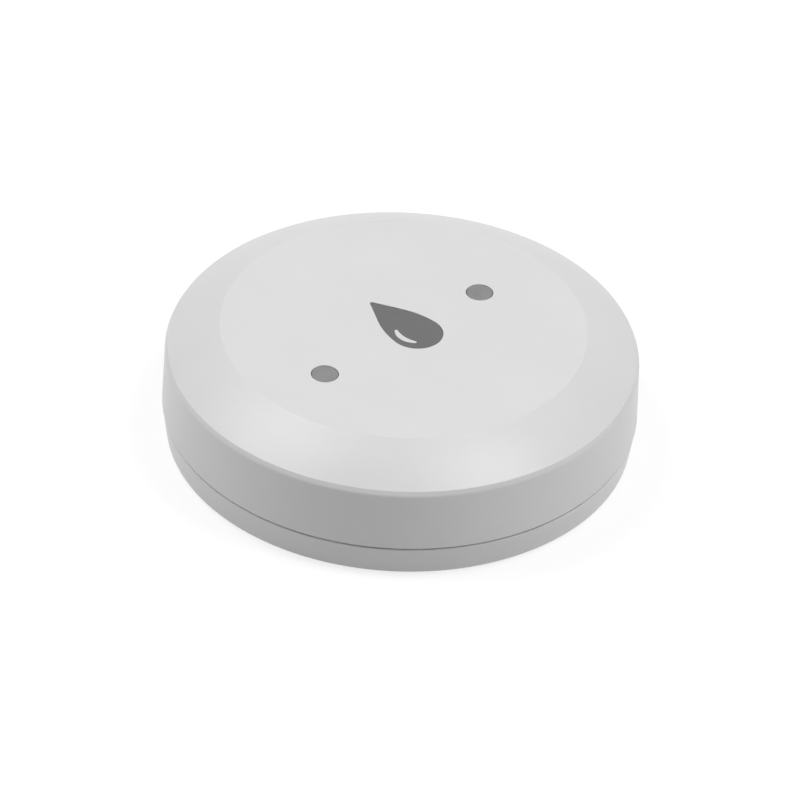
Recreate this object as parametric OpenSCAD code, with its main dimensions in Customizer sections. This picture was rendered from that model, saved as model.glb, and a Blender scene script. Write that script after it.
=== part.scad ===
// Round water leak sensor that stands on the floor.
// A sealed cover plugs onto a shallow base. Two drip contacts and a lit drop sit flush in the top.
// Four metal floor probes carry the base and sense water below it.

/* [Cover] */
// Outer diameter of the cover at its lower edge
body_d = 80; // [76:1:96]
// Diameter of the flat top face
top_d = 61.4; // [54:0.2:66]
// Height from the shoulder corner up to the flat top
shoulder_drop = 4.6; // [3.5:0.1:6.5]
// Bulge of the sloped ring's crown, measured before the crown is rounded
slope_bulge = 0.35; // [0.1:0.05:1]
// Straight stretch left at each end of the sloped ring
slope_land = 1.6; // [1.6:0.1:2.4]
// Inward lean of the cover wall, from its lower edge to the shoulder
cover_draft = 0.35; // [0.2:0.05:1.2]
// Wall thickness of the cover
wall = 2; // [1.6:0.1:2.4]
// Width that the shoulder's bevel takes off the wall and off the slope
shoulder_bevel = 0.5; // [0.4:0.05:0.8]
// Radius between the wall and the shoulder's bevel
shoulder_round = 1.2; // [0.6:0.1:2]
// Radius of the edge round the flat top
top_round = 0.2; // [0.2:0.1:1.2]
// Radius of the crisp edges: beside the parting groove and above the shoulder's bevel
lip_round = 0.15; // [0.1:0.05:0.4]
// Width of the ledge inside the cover that seats on the spigot
seat_ledge = 0.7; // [0.5:0.05:1]
// Height of the parting groove between base and cover
parting_gap = 0.35; // [0.3:0.05:0.8]

/* [Base] */
// Height of the visible wall of the base
base_h = 5.1; // [4:0.1:7]
// Step inward from the cover to the rim of the base
rim_inset = 0.1; // [0.05:0.05:0.6]
// Inward lean of the base wall, from its rim to its underside
base_draft = 0.7; // [0.2:0.1:1.2]
// Radius of the lower edge of the base
foot_round = 0.3; // [0.2:0.1:1.2]
// Thickness of the floor of the base
floor_t = 2; // [1.6:0.1:3]
// Radius inside the base where its wall meets its floor
tray_round = 1; // [0.5:0.1:1.5]
// Height of the spigot that plugs into the cover
spigot_h = 5; // [4.6:0.1:7]
// Wall thickness of the spigot
spigot_t = 2.5; // [2.2:0.1:3.2]
// Radial gap between spigot and cover
spigot_gap = 0.3; // [0.2:0.05:0.5]
// Width of the finger notch under the cover's back edge
pry_w = 12; // [8:1:18]
// Depth of the finger notch, measured inward from the rim
pry_depth = 1.2; // [0.8:0.1:1.6]
// Height of the finger notch
pry_h = 1; // [0.6:0.1:2]

/* [Ribs] */
// Number of ribs under the sloped ring of the cover
cover_ribs = 12; // [6:1:18]
// Reach of a cover rib past the two inner corners of the cover
rib_run = 1.4; // [1:0.1:1.8]
// Thickness of the ribs
rib_t = 1; // [0.8:0.1:1.2]
// Height of the ribs on the floor of the base
rib_h = 0.9; // [0.6:0.1:1]

/* [Seal] */
// Thickness of the seal ring's cord
seal_d = 1.6; // [1.2:0.1:2]
// Amount that the seal ring is flattened
seal_squeeze = 0.2; // [0.1:0.05:0.4]
// Gap left between the seal ring and the cover
seal_film = 0.15; // [0.1:0.05:0.3]
// Spare width of the seal groove
groove_play = 0.4; // [0.2:0.1:0.6]

/* [Key] */
// Width of the key that sets which way round the cover goes
key_w = 4; // [3:0.5:8]
// Height of the key
key_h = 0.9; // [0.6:0.1:1.2]
// Radial length of the key
key_l = 1.6; // [1:0.1:2]
// Gap round the key in its notch
key_gap = 0.3; // [0.2:0.05:0.5]

/* [Floor probes] */
// Height of the probe heads below the base
foot_lift = 0.6; // [0.4:0.1:1]
// Distance of the probes from the middle
probe_ring_r = 27; // [25:0.5:29]
// Diameter of a probe head
probe_head_d = 7; // [6:0.1:9]
// Thickness of a probe head
probe_head_t = 1.4; // [1.2:0.1:1.6]
// Diameter of a probe shank
probe_d = 4; // [3.4:0.1:4.6]
// Radius of the edges of a probe head
probe_round = 0.3; // [0.1:0.1:0.5]
// Wall thickness of the boss round a probe
probe_boss_t = 2.1; // [1.6:0.1:3]
// Gap round a probe shank in the base
probe_gap = 0.1; // [0.05:0.05:0.2]
// Gap round a probe head in the base
probe_head_gap = 0.2; // [0.1:0.05:0.4]
// Thickness of a probe seal's cord
probe_seal_d = 0.8; // [0.6:0.1:1]

/* [Board] */
// Height of the bosses that carry the board
board_lift = 1.6; // [1.2:0.1:3]
// Thickness of the board
board_t = 1.2; // [0.8:0.1:1.6]
// Gap between the board and the spigot
board_gap = 0.8; // [0.4:0.1:1.5]
// Thread diameter of the board screws
screw_d = 2; // [1.6:0.1:2.5]
// Thread length of the board screws
screw_l = 3.4; // [3:0.1:3.8]
// Diameter of the screw heads
screw_head_d = 3.8; // [3:0.1:4.5]
// Height of the screw heads
screw_head_h = 1.3; // [1:0.1:1.8]
// Width of the cross recess in the screw heads
recess_w = 0.5; // [0.3:0.05:0.7]
// Length of the cross recess in the screw heads
recess_l = 2.3; // [1.6:0.1:2.8]
// Depth of the cross recess in the screw heads
recess_t = 0.7; // [0.4:0.1:0.9]
// Radius of the edge of the screw heads
screw_round = 0.6; // [0.3:0.1:0.9]
// Gap round a screw thread in its probe
thread_gap = 0.03; // [0.02:0.01:0.05]
// Gap round pins, pegs and leads that pass through a hole
pass_gap = 0.15; // [0.1:0.05:0.3]

/* [Cells] */
// Diameter of a cell
cell_d = 10.5; // [10:0.1:11.5]
// Length of a cell with its nub
cell_l = 44.5; // [42:0.1:46]
// Radius of the edges of a cell
cell_round = 0.6; // [0.3:0.1:1]
// Diameter of the nub
nub_d = 3.8; // [3:0.1:5]
// Height of the nub
nub_h = 0.8; // [0.6:0.1:1.5]
// Radius of the edge of the nub
nub_round = 0.2; // [0.1:0.05:0.4]
// Space between the two cells
cell_gap = 1.4; // [1.2:0.1:2.5]
// Space above the cells, below the inside of the top
headroom = 2.9; // [2.6:0.1:4]

/* [Cell holder] */
// Thickness of the holder under a cell
holder_floor = 0.8; // [0.6:0.1:1.5]
// Thickness of the holder's walls
holder_wall = 1; // [0.8:0.1:1.5]
// Height of the holder's walls above the middle of the cells
holder_lip = 2.4; // [1:0.1:4]
// Gap round a cell in its bay
bay_gap = 0.25; // [0.15:0.05:0.4]
// Length of the thumb notch in each side wall
thumb_l = 16; // [10:1:24]
// Corner radius of the holder
holder_round = 0.9; // [0.5:0.1:1]
// Width of the slots in the floor of a bay
bay_slot_w = 3; // [2:0.5:4]
// Length of the slots in the floor of a bay
bay_slot_l = 9; // [6:1:12]
// Diameter of the pegs that hold the holder to the board
peg_d = 1.8; // [1.4:0.1:2.4]
// Distance between the pegs, along the cells
peg_pitch = 30; // [20:1:40]
// Thickness of the contact plates
plate_t = 0.4; // [0.3:0.05:0.6]
// Width of the contact plates
plate_w = 8; // [6:0.1:8.4]
// Depth of the contact plates below the middle of the cells
plate_reach = 3.6; // [2.8:0.1:3.8]
// Width of the folds that hook the contact plates over the holder's end walls
fold_w = 4; // [3:0.1:5.6]
// Width of the solder tails
tail_w = 1.6; // [1:0.1:2.4]
// Length of the solder tails below the board
tail_l = 0.8; // [0.5:0.1:1.2]

/* [Cell springs] */
// Length of a cell spring as fitted
cell_spring_l = 3.2; // [2.8:0.1:4]
// Wire diameter of a cell spring
cell_wire_d = 0.5; // [0.4:0.05:0.6]
// Coil radius at the plate
cell_coil_wide = 3.4; // [3:0.1:3.6]
// Coil radius at the cell
cell_coil_slim = 2; // [1.6:0.1:2.4]
// Number of turns of a cell spring
cell_turns = 2.5; // [1.5:0.5:3]

/* [Drip contacts] */
// Diameter of a contact's face
contact_d = 4.45; // [4:0.05:6]
// Thickness of a contact's head
contact_t = 0.9; // [0.7:0.1:1.1]
// Depth of the contact faces below the flat top
contact_sink = 0; // [0:0.05:0.3]
// Gap round a contact's head
contact_gap = 0.1; // [0.1:0.05:0.3]
// Diameter of a contact's stem
stem_d = 2.4; // [2:0.1:2.8]
// Length of a contact's stem below its clip
stem_tip = 1; // [0.6:0.1:1.4]
// Radius of the lower end of a contact's stem
stem_round = 0.4; // [0.2:0.1:0.6]
// Radius of the edge of a contact's face
contact_round = 0.1; // [0.05:0.05:0.3]
// Distance from the cell holder to the left contact
contact_left = 6.55; // [4:0.05:9]
// Distance from the cell holder to the right contact
contact_right = 3.95; // [3.5:0.05:9]
// Place of the contacts along the cells
contact_y = -1.25; // [-3:0.05:2]
// Wall thickness of the boss round a stem
contact_boss_t = 1.7; // [1.4:0.1:2.2]
// Height of the boss below the inside of the top
contact_boss_h = 1.6; // [1.2:0.1:2.2]
// Thickness of a contact seal's cord
contact_seal_d = 0.7; // [0.5:0.1:0.8]
// Diameter of a push-on clip
clip_d = 5.4; // [5:0.1:6]
// Thickness of a push-on clip
clip_t = 0.5; // [0.4:0.1:0.7]
// Number of slots that part the teeth of a clip
clip_slots = 6; // [4:1:8]
// Length of the slots in a clip
clip_slot_l = 0.8; // [0.4:0.1:0.8]
// Width of the slots in a clip
clip_slot_w = 0.3; // [0.2:0.05:0.4]
// Coil radius of a contact spring
contact_coil_r = 1.9; // [1.8:0.05:2.2]
// Wire diameter of a contact spring
contact_wire_d = 0.5; // [0.4:0.05:0.6]
// Number of turns of a contact spring
contact_turns = 7; // [4:1:9]
// Gap between a contact spring and its clip
spring_film = 0.1; // [0.05:0.05:0.3]

/* [Drop] */
// Length of the drop
drop_l = 15.8; // [13:0.1:18]
// Width of the drop's round belly
drop_w = 8.8; // [7.5:0.1:10]
// Length of the straight flanks that meet in the drop's point
drop_flank = 5.7; // [2:0.1:7]
// Radius of the drop's sides, between the flanks and the belly
drop_side_r = 15; // [12:0.5:24]
// Radius of the drop's point
drop_tip_r = 0.25; // [0.1:0.05:0.6]
// Place of the middle of the drop across the cells
drop_x = 0.4; // [-1:0.1:1]
// Place of the middle of the drop along the cells
drop_y = 0.8; // [-2:0.1:2]
// Thickness of the drop inlay
inlay_t = 0.8; // [0.6:0.1:1]
// Gap round the drop inlay
inlay_gap = 0.08; // [0.05:0.01:0.2]
// Depth of the inlay below the flat top
inlay_sink = 0.05; // [0:0.01:0.2]

/* [Lens and light guide] */
// Length of the crescent lens
lens_l = 6.1; // [4.5:0.1:7]
// Bulge of the lens's outer edge
lens_outer = 2.1; // [1.8:0.02:2.4]
// Bulge of the lens's inner edge
lens_inner = 1; // [0.6:0.05:1.2]
// Radius of the lens's two points
lens_tip_r = 0.3; // [0.1:0.05:0.35]
// Place of the lens's points left of the drop's middle
lens_x = 1.2; // [0.8:0.05:1.6]
// Place of the lens above the middle of the drop's belly
lens_rise = 0.5; // [-0.5:0.1:1]
// Lean of the lens towards the drop's point, in degrees
lens_lean = 3; // [0:1:8]
// Gap round the lens
lens_gap = 0.04; // [0.02:0.01:0.1]
// Width of the light guide's nose under the lens
nose_w = 1.6; // [1.2:0.1:2.2]
// Length of the light guide's nose under the lens
nose_l = 3.6; // [2.5:0.1:4]
// Width of the light guide's arm
guide_w = 5; // [4:0.1:6]
// Thickness of the light guide's arm
guide_t = 1.6; // [1.2:0.1:2]
// Diameter of the light guide's leg over the status light
guide_leg_d = 3.4; // [2.8:0.1:4]
// Gap between the leg and the status light
guide_air = 0.4; // [0.3:0.1:0.8]
// Diameter of the pins that hold the light guide to the cover
guide_pin_d = 1.6; // [1.2:0.1:2]
// Height of the pins' heads below the light guide
guide_pin_head = 0.4; // [0.2:0.1:0.6]

/* [Board parts] */
// Width of the status light
led_w = 2.8; // [2:0.1:3.2]
// Length of the status light
led_l = 3.5; // [2.5:0.1:4]
// Height of the status light's body
led_h = 1.4; // [1:0.1:1.8]
// Radius of the status light's dome
led_dome_r = 1.1; // [0.7:0.1:1.2]
// Distance from the cell holder to the middle of the status light
led_clear = 3.2; // [2.4:0.1:4]
// Place of the status light along the cells
led_y = 8; // [7:0.5:10]
// Width of the radio module
radio_w = 11; // [9:0.5:12]
// Length of the radio module
radio_l = 14; // [12:0.5:15]
// Thickness of the radio module's own board
radio_t = 0.8; // [0.6:0.1:1.2]
// Place of the radio module along the cells
radio_y = 9.4; // [9.2:0.1:10]
// Length of the radio module's bare end, where its antenna lies
antenna_l = 3.6; // [3:0.1:4.5]
// Width of an antenna track
track_w = 0.5; // [0.4:0.05:0.7]
// Thickness of an antenna track
track_t = 0.1; // [0.05:0.05:0.2]
// Edge left bare round the shield can
can_inset = 0.7; // [0.6:0.1:1]
// Height of the shield can
can_h = 2; // [1.6:0.1:2.6]
// Sheet thickness of the shield can
can_t = 0.25; // [0.2:0.05:0.4]
// Corner radius of the shield can
can_round = 0.8; // [0.4:0.1:1.2]
// Spacing of the half-round pads along the radio module's edges
pad_pitch = 1.3; // [1.1:0.1:1.6]
// Diameter of the half-round pads
pad_d = 0.7; // [0.5:0.1:0.9]
// Width of the controller chip
chip_w = 6; // [4:0.5:7]
// Height of the controller chip
chip_h = 0.9; // [0.7:0.1:1.4]
// Diameter of the controller chip's corner mark
chip_mark_d = 0.8; // [0.5:0.1:1]
// Depth of the controller chip's corner mark
chip_mark_t = 0.1; // [0.05:0.05:0.2]
// Gap below the controller chip's body
chip_lift = 0.1; // [0.05:0.05:0.2]
// Spacing of the controller chip's leads
lead_pitch = 0.65; // [0.5:0.05:0.8]
// Width of a lead
lead_w = 0.3; // [0.2:0.05:0.4]
// Thickness of a lead
lead_t = 0.15; // [0.1:0.05:0.2]
// Reach of a lead from the side of the chip
lead_l = 0.9; // [0.7:0.1:1.2]
// Distance from the side of the chip to the bend of a lead
lead_bend = 0.3; // [0.2:0.05:0.4]
// Place of the controller chip along the cells
chip_y = 5; // [4.5:0.5:8]
// Width of the crystal
crystal_w = 2.5; // [2:0.1:3]
// Length of the crystal
crystal_l = 3.2; // [2.5:0.1:4]
// Height of the crystal
crystal_h = 0.8; // [0.6:0.1:1.2]
// Height of the crystal's foot
crystal_foot_h = 0.35; // [0.2:0.05:0.5]
// Step from the crystal's foot in to its lid
crystal_step = 0.2; // [0.1:0.05:0.3]
// Corner radius of the crystal
crystal_round = 0.4; // [0.2:0.1:0.6]
// Place of the crystal along the cells
crystal_y = -7; // [-9:0.5:-6.5]
// Length of a small board part
chip_part_l = 1.6; // [1:0.1:2]
// Width of a small board part
chip_part_w = 0.8; // [0.5:0.1:1.2]
// Height of a small board part
chip_part_h = 0.7; // [0.4:0.1:1]
// Length of a small board part's metal ends
chip_cap_l = 0.35; // [0.2:0.05:0.4]
// Thickness of a small board part's metal ends
chip_cap_t = 0.05; // [0.03:0.01:0.08]
// Spacing of the small board parts
chip_part_pitch = 2.8; // [2.6:0.1:3.2]
// Place of the first row of small board parts along the cells
chip_part_y = -11.5; // [-13:0.5:-11]

/* [Pairing switch] */
// Width of the switch
switch_w = 6; // [5:0.5:7]
// Height of the switch body
switch_h = 3.1; // [2.8:0.1:4]
// Thickness of the switch's top plate
switch_lid = 0.7; // [0.5:0.1:0.9]
// Step from the side of the switch in to its top plate
lid_step = 0.15; // [0.1:0.05:0.3]
// Diameter of the studs that hold the top plate
stud_d = 0.9; // [0.6:0.1:1]
// Height of the studs above the top plate
stud_h = 0.15; // [0.1:0.05:0.3]
// Distance of the studs from the sides of the switch
stud_edge = 0.85; // [0.8:0.05:1]
// Width of the switch's legs
leg_w = 0.8; // [0.5:0.1:1]
// Reach of a leg from the side of the switch
leg_l = 1.2; // [0.8:0.1:1.6]
// Place of the switch along the cells
switch_y = -9.5; // [-12:0.5:-7]
// Diameter of the plunger
plunger_d = 3; // [2.4:0.1:3.4]
// Height of the plunger above the switch
plunger_h = 0.9; // [0.6:0.1:1.5]
// Width of the collar that keeps the plunger in
collar_w = 0.35; // [0.25:0.05:0.5]
// Thickness of the collar
collar_t = 0.6; // [0.4:0.1:0.8]
// Travel of the plunger
plunger_travel = 0.25; // [0.15:0.05:0.4]
// Running gap round the plunger
plunger_gap = 0.05; // [0.03:0.01:0.1]

/* [Hidden] */

$fn = 96;
cut = 0.5;
touch = 0.02;
arc_steps = 8;
small_fn = 32;
curl_rings = 8;
wire_sides = 6;

// Heights, from the surface that the probes stand on
z_base = foot_lift;
z_floor = z_base + floor_t;
z_board = z_floor + board_lift;
z_board_top = z_board + board_t;
z_cell = z_board_top + holder_floor + cell_d / 2;
z_ceiling = z_board_top + holder_floor + cell_d + headroom;
z_top = z_ceiling + wall;
z_shoulder = z_top - shoulder_drop;
z_rim = z_base + base_h;
z_cover = z_rim + parting_gap;
z_seat = z_rim + spigot_h;

// Corners of the cover's outline, as radius and height
cover_foot = [body_d / 2, z_cover];
cover_shoulder = [body_d / 2 - cover_draft, z_shoulder];
cover_rim = [top_d / 2, z_top];
cover_middle = [0, z_top];
inner_shoulder = inset_corner(cover_foot, cover_shoulder, cover_rim, wall);
inner_rim = inset_corner(cover_shoulder, cover_rim, cover_middle, wall);

// Crown of the sloped ring: the corner between its two tangents, and the radius that rounds it
slope_half = (cover_rim - cover_shoulder) / 2;
slope_corner = cover_shoulder + slope_half + slope_bulge * unit([slope_half.y, -slope_half.x]);
slope_r = (norm(slope_corner - cover_shoulder) - slope_land) * norm(slope_half) / slope_bulge;

// Bevel of the shoulder, from the wall to the slope
bevel_low = cover_shoulder + shoulder_bevel * unit(cover_foot - cover_shoulder);
bevel_high = cover_shoulder + shoulder_bevel * unit(slope_corner - cover_shoulder);

// Radii of the fit between base and cover, from the cover's inside down to the board
seat_r = inner_shoulder.x + touch;
bore_r = seat_r + seat_ledge;
spigot_r = bore_r - spigot_gap;
tray_r = spigot_r - spigot_t;
groove_r = bore_r - seal_film - seal_d + seal_squeeze;
z_groove = z_rim + (spigot_h - key_h - key_gap) / 2;
base_rim_r = body_d / 2 - rim_inset;
base_foot_r = base_rim_r - base_draft;
board_r = tray_r - board_gap;

// Floor probes
probe_r = probe_d / 2;
probe_hole_r = probe_r + probe_gap;
probe_seal_r = probe_hole_r + probe_seal_d / 2;
probe_places = [for (k = [0:3]) probe_ring_r * [cos(45 + 90 * k), sin(45 + 90 * k)]];
screw_hole_r = screw_d / 2 + pass_gap;

// Cell holder
cell_x = (cell_d + cell_gap) / 2;
bay_r = cell_d / 2 + bay_gap;
bay_l = cell_l + cell_spring_l;
plate_y = bay_l / 2 + plate_t / 2;
holder_w = 2 * (cell_x + bay_r + holder_wall);
holder_l = bay_l + 2 * (plate_t + holder_wall);
holder_top = z_cell + holder_lip;
z_plate = z_cell - plate_reach;
z_fold = holder_top + touch;

// Drip contacts
contact_places = [[-holder_w / 2 - contact_left, contact_y], [holder_w / 2 + contact_right, contact_y]];
contact_r = contact_d / 2;
stem_r = stem_d / 2;
stem_hole_r = stem_r + pass_gap;
contact_seal_r = stem_hole_r + contact_seal_d / 2;
z_contact = z_top - contact_sink;
z_contact_seat = z_contact - contact_t;
z_boss = z_ceiling - contact_boss_h;
z_clip = z_boss - clip_t;

// Drop outline: straight flanks from the point, then side arcs, then a round belly, all tangent
belly_r = drop_w / 2;
belly_y = drop_y - drop_l / 2 + belly_r;
point_rise = drop_l - belly_r;
flank_reach = norm([drop_flank, drop_side_r]);
flank_rise = (flank_reach ^ 2 + point_rise ^ 2 - (drop_side_r - belly_r) ^ 2) / (2 * point_rise);
flank_turn = asin(flank_rise / flank_reach) - atan2(drop_flank, drop_side_r);
side_x = drop_side_r * cos(flank_turn) - drop_flank * sin(flank_turn);
side_rise = point_rise - flank_rise;
side_from = atan2(-side_rise, side_x);
z_inlay = z_top - inlay_sink - inlay_t;

// Lens, light guide and status light
lens_half = lens_l / 2;
lens_outer_r = (lens_half ^ 2 + lens_outer ^ 2) / (2 * lens_outer);
lens_inner_r = (lens_half ^ 2 + lens_inner ^ 2) / (2 * lens_inner);
lens_y = belly_y + lens_rise;
lens_middle = [drop_x - lens_x - (lens_outer + lens_inner) / 2, lens_y];
led_place = [holder_w / 2 + led_clear, led_y];
led_top = z_board_top + led_h + led_dome_r;
z_guide = z_ceiling - guide_t;
guide_pins = [for (share = [1 / 3, 2 / 3]) led_place + (lens_middle - led_place) * share];

// Banks of parts on the board, halfway between the holder and the board's edge
bank_x = (holder_w / 2 + board_r) / 2;
z_radio_top = z_board_top + radio_t;
can_w = radio_w - 2 * can_inset;
can_l = radio_l - antenna_l - can_inset;
can_y = radio_y - radio_l / 2 + can_inset + can_l / 2;
antenna_y = radio_y + radio_l / 2 - antenna_l;
pads = floor(can_l / pad_pitch);
leads = floor((chip_w - lead_pitch) / lead_pitch);
switch_place = [bank_x, switch_y];
plunger_r = plunger_d / 2;
z_switch_lid = z_board_top + switch_h - switch_lid;
switch_well = collar_t + plunger_travel + plunger_gap + touch;

// Vector of length one
function unit(v) = v / norm(v);

// Corner b of the line a, b, c, moved inward by t
function inset_corner(a, b, c, t) =
    let (u = unit(a - b), v = unit(c - b), half = acos(u * v) / 2)
    b + unit(u + v) * t / sin(half);

// Arc of radius r that rounds corner b of the line a, b, c
function corner_arc(a, b, c, r) =
    let (u = unit(a - b), v = unit(c - b), half = acos(u * v) / 2)
    let (reach = r / tan(half), centre = inset_corner(a, b, c, r))
    let (p = b + u * reach - centre, q = b + v * reach - centre)
    let (from = atan2(p.y, p.x), to = atan2(q.y, q.x))
    let (sweep = (to - from + 540) % 360 - 180)
    [for (k = [0:arc_steps])
        let (turn = from + sweep * k / arc_steps)
        centre + r * [cos(turn), sin(turn)]];

// Closed outline from corners [x, y, radius], each rounded by its radius
function rounded(corners) =
    let (n = len(corners), p = [for (c = corners) [c.x, c.y]])
    [for (i = [0:n - 1])
        each corners[i].z > 0 ? corner_arc(p[(i + n - 1) % n], p[i], p[(i + 1) % n], corners[i].z) : [p[i]]];

// Points of a coil's middle line, with a straight flat stretch of one wire diameter at each end
function coil_line(turns, r_from, r_to, length, wire) =
    let (steps = ceil(turns * curl_rings))
    let (curl = [for (i = [0:steps])
        let (share = i / steps, r = r_from + (r_to - r_from) * share)
        [r * cos(360 * turns * share), r * sin(360 * turns * share), length * share]])
    let (first = curl[0] - curl[1], last = curl[steps] - curl[steps - 1])
    let (before = curl[0] + wire * unit([first.x, first.y, 0]))
    let (after = curl[steps] + wire * unit([last.x, last.y, 0]))
    concat([before], curl, [after]);

// Least gap between one turn of a coil and the next
function coil_gap(line, wire) =
    let (n = len(line), apart = curl_rings - 2)
    min([for (i = [0:n - 1 - apart]) for (j = [i + apart:n - 1]) norm(line[i] - line[j])]) - wire;

// Unbroken round wire along a line of points
module wire_tube(line, wire) {
    n = len(line);
    points = [for (i = [0:n - 1])
        let (along = unit(line[min(i + 1, n - 1)] - line[max(i - 1, 0)]))
        let (side = unit(cross([0, 0, 1], along)), up = cross(along, side))
        for (k = [0:wire_sides - 1])
            let (turn = 360 * k / wire_sides)
            line[i] + wire / 2 * (side * cos(turn) + up * sin(turn))];
    sides = [for (i = [0:n - 2]) for (k = [0:wire_sides - 1])
        let (a = i * wire_sides + k, b = i * wire_sides + (k + 1) % wire_sides)
        each [[a, a + wire_sides, b], [b, a + wire_sides, b + wire_sides]]];
    last = (n - 1) * wire_sides;
    caps = [for (k = [1:wire_sides - 2]) each [[0, k, k + 1], [last, last + k + 1, last + k]]];
    polyhedron(points, concat(sides, caps));
}

// Ring of round cord
module cord_ring(r, d) {
    rotate_extrude()
        translate([r, 0])
            circle(d = d, $fn = small_fn);
}

// Block with its middle at [x, y], standing at height z
module block(place, z, size) {
    translate([place.x - size.x / 2, place.y - size.y / 2, z])
        cube(size);
}

// Rectangle with round corners
module round_rect(size, r) {
    half = size / 2;
    polygon(rounded([
        [-half.x, -half.y, r],
        [half.x, -half.y, r],
        [half.x, half.y, r],
        [-half.x, half.y, r]]));
}

// Bent lead that leaves a side at height h, along +X, and stands on the board
module bent_lead(h, bend, reach, w) {
    rotate([90, 0, 0])
        linear_extrude(w, center = true)
            polygon([
                [-lead_t, h],
                [bend, h],
                [bend, 0],
                [reach, 0],
                [reach, lead_t],
                [bend + lead_t, lead_t],
                [bend + lead_t, h + lead_t],
                [-lead_t, h + lead_t]]);
}

// Flat bar with round ends
module bar_outline(from, to, w) {
    hull() {
        translate(from) circle(d = w, $fn = small_fn);
        translate(to) circle(d = w, $fn = small_fn);
    }
}

// Outline of the drop, grown by a gap
module drop_outline(gap) {
    side = [for (k = [0:arc_steps])
        let (turn = side_from + (flank_turn - side_from) * k / arc_steps)
        [drop_side_r * cos(turn) - side_x, belly_y + side_rise + drop_side_r * sin(turn)]];
    other_side = [for (k = [arc_steps:-1:0]) [-side[k].x, side[k].y]];
    point = [[0, belly_y + point_rise]];
    belly_steps = 4 * arc_steps;
    belly = [for (k = [1:belly_steps - 1])
        let (turn = 180 - side_from + (180 + 2 * side_from) * k / belly_steps)
        [belly_r * cos(turn), belly_y + belly_r * sin(turn)]];
    translate([drop_x, 0])
        offset(r = gap + drop_tip_r)
            offset(delta = -drop_tip_r)
                polygon(concat(side, point, other_side, belly));
}

// Outline of the crescent lens, drawn in by a gap
module lens_outline(gap) {
    translate([drop_x - lens_x, lens_y])
        rotate(lens_lean)
            offset(r = lens_tip_r - gap)
                offset(delta = -lens_tip_r)
                    difference() {
                        translate([lens_outer_r - lens_outer, 0]) circle(lens_outer_r);
                        translate([lens_inner_r - lens_inner, 0]) circle(lens_inner_r);
                    }
}

// Outline of the light guide's nose, grown by a gap
module nose_outline(gap) {
    reach = [0, (nose_l - nose_w) / 2];
    bar_outline(lens_middle - reach, lens_middle + reach, nose_w + 2 * gap);
}

// Base: tray with a spigot, seal groove, probe bosses, floor ribs and a finger notch
module base_shell() {
    color("white")
        difference() {
            union() {
                rotate_extrude()
                    polygon(rounded([
                        [0, z_base, 0],
                        [base_foot_r, z_base, foot_round],
                        [base_rim_r, z_rim, lip_round],
                        [spigot_r, z_rim, 0],
                        [spigot_r, z_seat, lip_round],
                        [tray_r, z_seat, lip_round],
                        [tray_r, z_floor, tray_round],
                        [0, z_floor, 0]]));
                for (place = probe_places)
                    translate([place.x, place.y, z_floor - cut])
                        cylinder(r = probe_hole_r + probe_boss_t, h = board_lift + cut);
                floor_ribs();
            }
            for (place = probe_places)
                translate([place.x, place.y, 0])
                    probe_socket();
            seal_groove();
            block([0, spigot_r], z_seat - key_h - key_gap,
                [key_w + 2 * key_gap, 2 * (spigot_t + cut), key_h + key_gap + cut]);
            translate([-pry_w / 2, base_rim_r - pry_depth, z_rim - pry_h])
                cube([pry_w, pry_depth + cut, pry_h + cut]);
        }
}

// Ribs on the floor of the base: a cross from wall to wall and a ring through the probe bosses
module floor_ribs() {
    span = 2 * tray_r + spigot_t;
    block([0, 0], z_floor - cut, [span, rib_t, rib_h + cut]);
    block([0, 0], z_floor - cut, [rib_t, span, rib_h + cut]);
    translate([0, 0, z_floor - cut])
        difference() {
            cylinder(r = probe_ring_r + rib_t / 2, h = rib_h + cut);
            translate([0, 0, -cut])
                cylinder(r = probe_ring_r - rib_t / 2, h = rib_h + 3 * cut);
        }
}

// Space in the base for one probe and its seal
module probe_socket() {
    translate([0, 0, z_base - cut])
        cylinder(d = probe_head_d + 2 * probe_head_gap, h = probe_head_t - foot_lift + cut);
    cylinder(r = probe_hole_r, h = z_board + cut);
    cylinder(r = probe_hole_r + probe_seal_d, h = probe_head_t + probe_seal_d);
}

// Space in the spigot for the seal ring
module seal_groove() {
    groove_h = seal_d + groove_play;
    translate([0, 0, z_groove - groove_h / 2])
        difference() {
            cylinder(r = spigot_r + cut, h = groove_h);
            translate([0, 0, -cut])
                cylinder(r = groove_r, h = groove_h + 2 * cut);
        }
}

// Seal ring, flattened between its groove and the cover
module seal_ring() {
    squeezed = seal_d - seal_squeeze;
    color("dimgray")
        translate([0, 0, z_groove])
            rotate_extrude()
                translate([groove_r + squeezed / 2, 0])
                    intersection() {
                        circle(d = seal_d, $fn = small_fn);
                        square([squeezed, 2 * seal_d], center = true);
                    }
}

// Floor probe: a flat head to stand on, a shank and a threaded hole for the board screw
module floor_probe(place) {
    thread_r = screw_d / 2 + thread_gap;
    color("silver")
        translate([place.x, place.y, 0])
            difference() {
                rotate_extrude()
                    polygon(rounded([
                        [0, 0, 0],
                        [probe_head_d / 2, 0, probe_round],
                        [probe_head_d / 2, probe_head_t, probe_round],
                        [probe_r, probe_head_t, 0],
                        [probe_r, z_board, probe_round],
                        [0, z_board, 0]]));
                translate([0, 0, z_board_top - screw_l - cut])
                    cylinder(r = thread_r, h = screw_l + 2 * cut);
            }
}

// Seal rings under the probe heads
module probe_seals() {
    color("dimgray")
        for (place = probe_places)
            translate([place.x, place.y, probe_head_t + probe_seal_d / 2])
                cord_ring(probe_seal_r, probe_seal_d - 2 * touch);
}

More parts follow.
